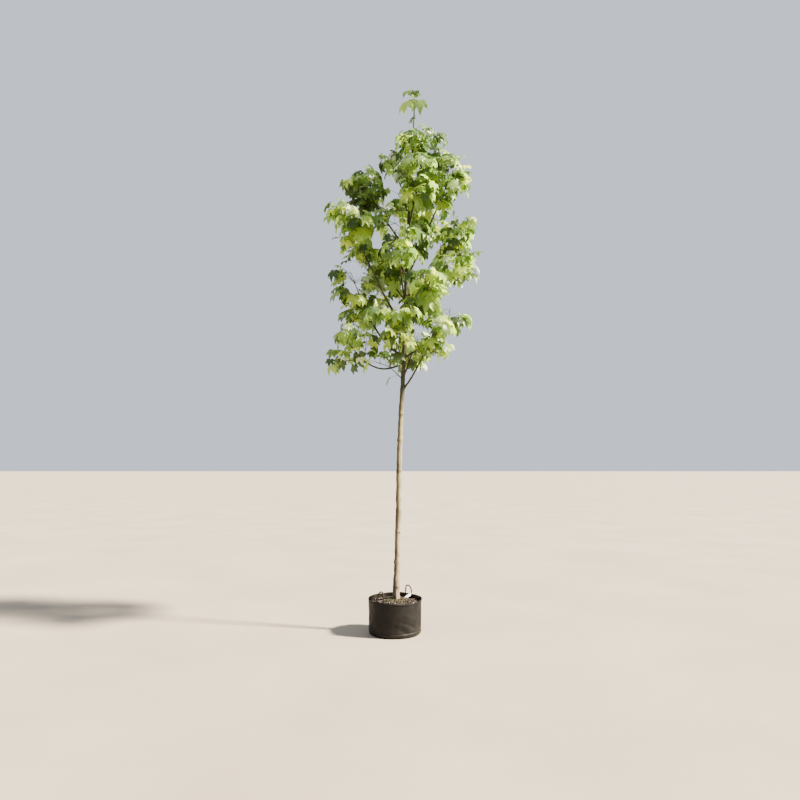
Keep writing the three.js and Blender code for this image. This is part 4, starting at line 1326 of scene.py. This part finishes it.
def label_mesh():
    """The blank label: a strip with rounded ends and a slight bow, and its narrow tail round the handle's
    leg."""
    low, high = (np.array(corner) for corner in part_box("label"))
    middle = (low + high) / 2 + np.array(HUNG.shift)
    tilt, lean = np.radians([LABEL.tilt + HUNG.tilt, LABEL.lean + HUNG.lean])
    length_way = np.array([np.cos(tilt), 0, np.sin(tilt)])
    width_way = np.array([-np.cos(lean) * np.sin(tilt), np.sin(lean), np.cos(lean) * np.cos(tilt)])
    length_way, width_way = (turned(way, UP, HUNG.turn) for way in (length_way, width_way))
    share = np.linspace(-1, 1, 40)
    bow = np.cross(length_way, width_way) * (HUNG.bow * (0.5 - share**2))[:, None]
    path = middle + length_way * (share * LABEL.length / 2)[:, None] + bow
    ends = np.clip((np.abs(share) - LABEL_END.start) / (1 - LABEL_END.start), 0, 1)
    rounding = np.sqrt(np.clip(1 - ends**2, LABEL_END.least, 1))
    strip = strip_rings(path, width_way, LABEL.width * rounding, LABEL.thickness)
    azimuth = HANDLE_AZIMUTHS["handle_back"]
    leg = outward(azimuth) * TAIL.leg - outward(azimuth + 90) * HANDLE.span / 2
    round_leg = [path[-2] - length_way * TAIL.back, path[-2] + length_way * TAIL.out]
    for turn in TAIL_TURNS:
        climb = TAIL.climb * (turn - TAIL_TURNS[0])
        round_leg.append(leg + outward(turn) * TAIL.loop + UP * (TAIL.height + climb))
    round_leg.append(leg + outward(TAIL_END.azimuth) * TAIL_END.reach + UP * TAIL_END.height)
    tail = strip_rings(smooth_path(round_leg, 40), UP, np.full(40, TAIL.width), TAIL.thickness)
    return joined([ringed(strip[None]), ringed(tail[None])])


# A stitch's share of the gap between two needle holes, its thread's radius, and how far it lies on the
# cloth and rises in its middle. The hem's row lies below the rim, and the foot's row above the seam. A
# step is the degrees from one stitch to the next.
STITCH = Sizes(
    share=0.62, radius=0.0005, proud=0.0003, arch=0.0004, below_rim=0.014, above_seam=0.006,
    hem_step=1.1, foot_step=1.3,
)


def stitches(step, height_at, proud):
    """A row of machine stitches round the bag, one every so many degrees: short threads that lie on the
    cloth."""
    azimuth = np.arange(0, 360, step)
    share = np.linspace(0, 1, 5)
    turn = azimuth[:, None] + (share * STITCH.share + (1 - STITCH.share) / 2) * step
    height = height_at(turn)
    thread = proud + STITCH.proud + STITCH.arch * np.sin(np.pi * share)
    paths = round_points(turn, BAG.radius + wall_offset(turn, height) + thread, height)
    radii = np.full(paths.shape[:2], STITCH.radius)
    return ringed(tube_rings(paths, radii, np.repeat(UP[None], len(azimuth), 0), SIDES.thread))


# The scene


def build_camera():
    """The viewer stands six metres off at eye height and looks level."""
    camera = bpy.data.cameras.new("viewer")
    camera.lens = VIEWER.lens
    camera.sensor_width = VIEWER.sensor
    camera.shift_x = VIEWER.shift_x
    camera.shift_y = VIEWER.shift_y
    made = placed("viewer", camera)
    made.location = (0, -VIEWER.distance, VIEWER.eye_height)
    made.rotation_euler = (np.pi / 2, 0, 0)
    bpy.context.scene.camera = made


def build_studio():
    """A plain pale floor, a pale sky all round, and one soft main light from the right and a little in
    front."""
    mesh = bpy.data.meshes.new("floor")
    mesh.from_pydata([(x * FLOOR_HALF, y * FLOOR_HALF, 0) for x, y in CORNERS], [], [(0, 1, 2, 3)])
    mesh.materials.append(pale_floor())
    placed("floor", mesh)

    world = bpy.data.worlds.new("pale_sky")
    bpy.context.scene.world = world
    world.use_nodes = True
    sky = world.node_tree.nodes["Background"]
    sky.inputs["Color"].default_value = colour("#dfe6f0")
    sky.inputs["Strength"].default_value = 0.85

    sun = bpy.data.lights.new("main_light", "SUN")
    sun.energy = SUN.energy
    sun.angle = np.radians(SUN.width)
    sun.color = colour("#fff4e2")[:3]
    lamp = placed("main_light", sun)
    lamp.rotation_euler = (np.radians(90 - SUN.elevation), 0, np.radians(90 + SUN.azimuth))
    bpy.context.scene.view_settings.look = "AgX - Medium High Contrast"


CROWN = Sizes(axis=0.11, heart=0.2)  # how far right the trunk stands half way up it, and its inside's reach
ODD_LEAF = 0.45  # the share of a spray's leaves that have a colour of their own


def deal_colours(sprays):
    """Deals a colour to each spray by a seeded draw, and another to its odd leaves. The draw paints light
    and shade: the colours are brighter on the sunny right than on the left or inside the crown."""
    random = np.random.default_rng(7)
    names = list(LEAF_COLOURS)
    dealt = {name: [] for name in names}
    for spray in sprays:
        place = spray[0].junction
        # Painted light and shade: inner weights the deep colours inside the crown, and sunny the bright
        # ones on its sunny right.
        inner = hump(np.hypot(place[0] - CROWN.axis, place[1]), CROWN.heart)
        sunny = np.clip(0.5 + (place[0] - CROWN.axis), 0, 1)
        weights = np.array([
            (kind.right * sunny + kind.left * (1 - sunny)) * (1 - inner) + kind.inside * inner
            for kind in LEAF_COLOURS.values()
        ])
        shares = weights / weights.sum()
        main = random.choice(names, p=shares)
        for leaf in spray:
            dealt[random.choice(names, p=shares) if random.random() < ODD_LEAF else main].append(leaf)
    return dealt


def build_plant():
    """The trunk, the boughs, and the twigs and leaves of every mass."""
    shoots, sprays = grow()
    bark = maple_bark()
    young = twig_bark()
    foliage = [f"foliage_{mass.name}" for mass in masses]
    *trunk, scars = trunk_mesh()
    made = piece("trunk_bark", *trunk, bark, "bark", replaces=["trunk"])
    made.data.attributes.new("scar", "FLOAT", "POINT").data.foreach_set("value", scars.astype(np.float32))
    bough_nodes = [f"bough_{mass.name}" for mass in boughs]
    piece("bough_bark", *bough_meshes(), bark, "young_bark", replaces=bough_nodes)
    piece("twigs", *shoot_meshes(shoots), young, "young_bark", replaces=foliage)
    leaves = [leaf for spray in sprays for leaf in spray]
    piece("leaf_stalks", *stalk_meshes(leaves), leaf_stalk(), "foliage", replaces=foliage)
    for name, kind in deal_colours(sprays).items():
        tones, vein, glow = LEAF_COLOURS[name][:3]
        finish = leaf_blade(f"maple_leaf_{name}", tones, vein, glow)
        vertices, faces, uv = blade_meshes(kind)
        piece(f"leaves_{name}", vertices, faces, finish, "foliage", uv=uv, replaces=foliage)


def build_bag():
    """The bag with its two rows of stitches, the handles and the label."""
    cloth = woven_laminate("woven_bag_cloth", "#131110", "#282521", 0.6, 0.06)
    lining = woven_laminate("bag_cloth_back", "#231f1a", "#5d5347", 0.4, 0.4)
    bag_piece(cloth, lining)
    thread = black_rope()
    hem_row = stitches(
        STITCH.hem_step, lambda azimuth: rim_height(azimuth) - STITCH.below_rim, BAG.hem_proud
    )
    foot_row = stitches(STITCH.foot_step, lambda azimuth: seam_height(azimuth) + STITCH.above_seam, 0.0)
    piece("bag_stitching", *joined([hem_row, foot_row]), thread, "bag")
    for name, azimuth in HANDLE_AZIMUTHS.items():
        piece(f"{name}_rope", *rope_mesh(azimuth), thread, "rope", replaces=[name])
    piece("label_strip", *label_mesh(), blank_label(), "label", replaces=["label"])


# What lies loose on the bed: each one's material, its tones and the size of their patches, its count, the
# two distances from the trunk's foot that it lies between, its smallest and largest length, width and
# thickness, how far it tips, and its seed.
LooseBits = namedtuple("LooseBits", "finish tones patch count reach smallest largest tilt seed")
BED_REACH = BAG.radius - BAG.wall - 0.018
LOOSE_BITS = {
    "mulch_chips": LooseBits(
        "bark_mulch", [(0.3, "#261e1a"), (0.5, "#443b33"), (0.7, "#675e56")], 0.012, 1500,
        (0.05, BED_REACH), (0.006, 0.003, 0.001), (0.026, 0.012, 0.004), 0.35, 41,
    ),
    "moss_crumbs": LooseBits(
        "moss_crumbs", [(0.3, "#2d2b18"), (0.5, "#4c482d"), (0.7, "#6c6547")], 0.012, 900,
        (0.034, 0.12), (0.003, 0.003, 0.002), (0.009, 0.008, 0.006), 0.6, 42,
    ),
    "pale_chips": LooseBits(
        "pale_chips", [(0.3, "#827769"), (0.6, "#ada59a")], 0.02, 260,
        (0.05, BED_REACH), (0.006, 0.003, 0.001), (0.022, 0.010, 0.003), 0.5, 43,
    ),
}


def build_bed():
    """The soil, and on it bark mulch, moss round the trunk, and pale chips."""
    soil = crumbs("potting_soil", [(0.3, "#150f09"), (0.55, "#231b13"), (0.75, "#32281d")], 0.02)
    piece("soil_bed", *bed_mesh(), soil, "soil", replaces=["soil"])
    for name, bits in LOOSE_BITS.items():
        finish = crumbs(bits.finish, bits.tones, bits.patch)
        loose = chips(bits.count, bits.reach, bits.smallest, bits.largest, bits.tilt, bits.seed)
        piece(name, *loose, finish, "soil", smooth=False)


build_camera()
build_studio()
build_bag()
build_bed()
build_plant()
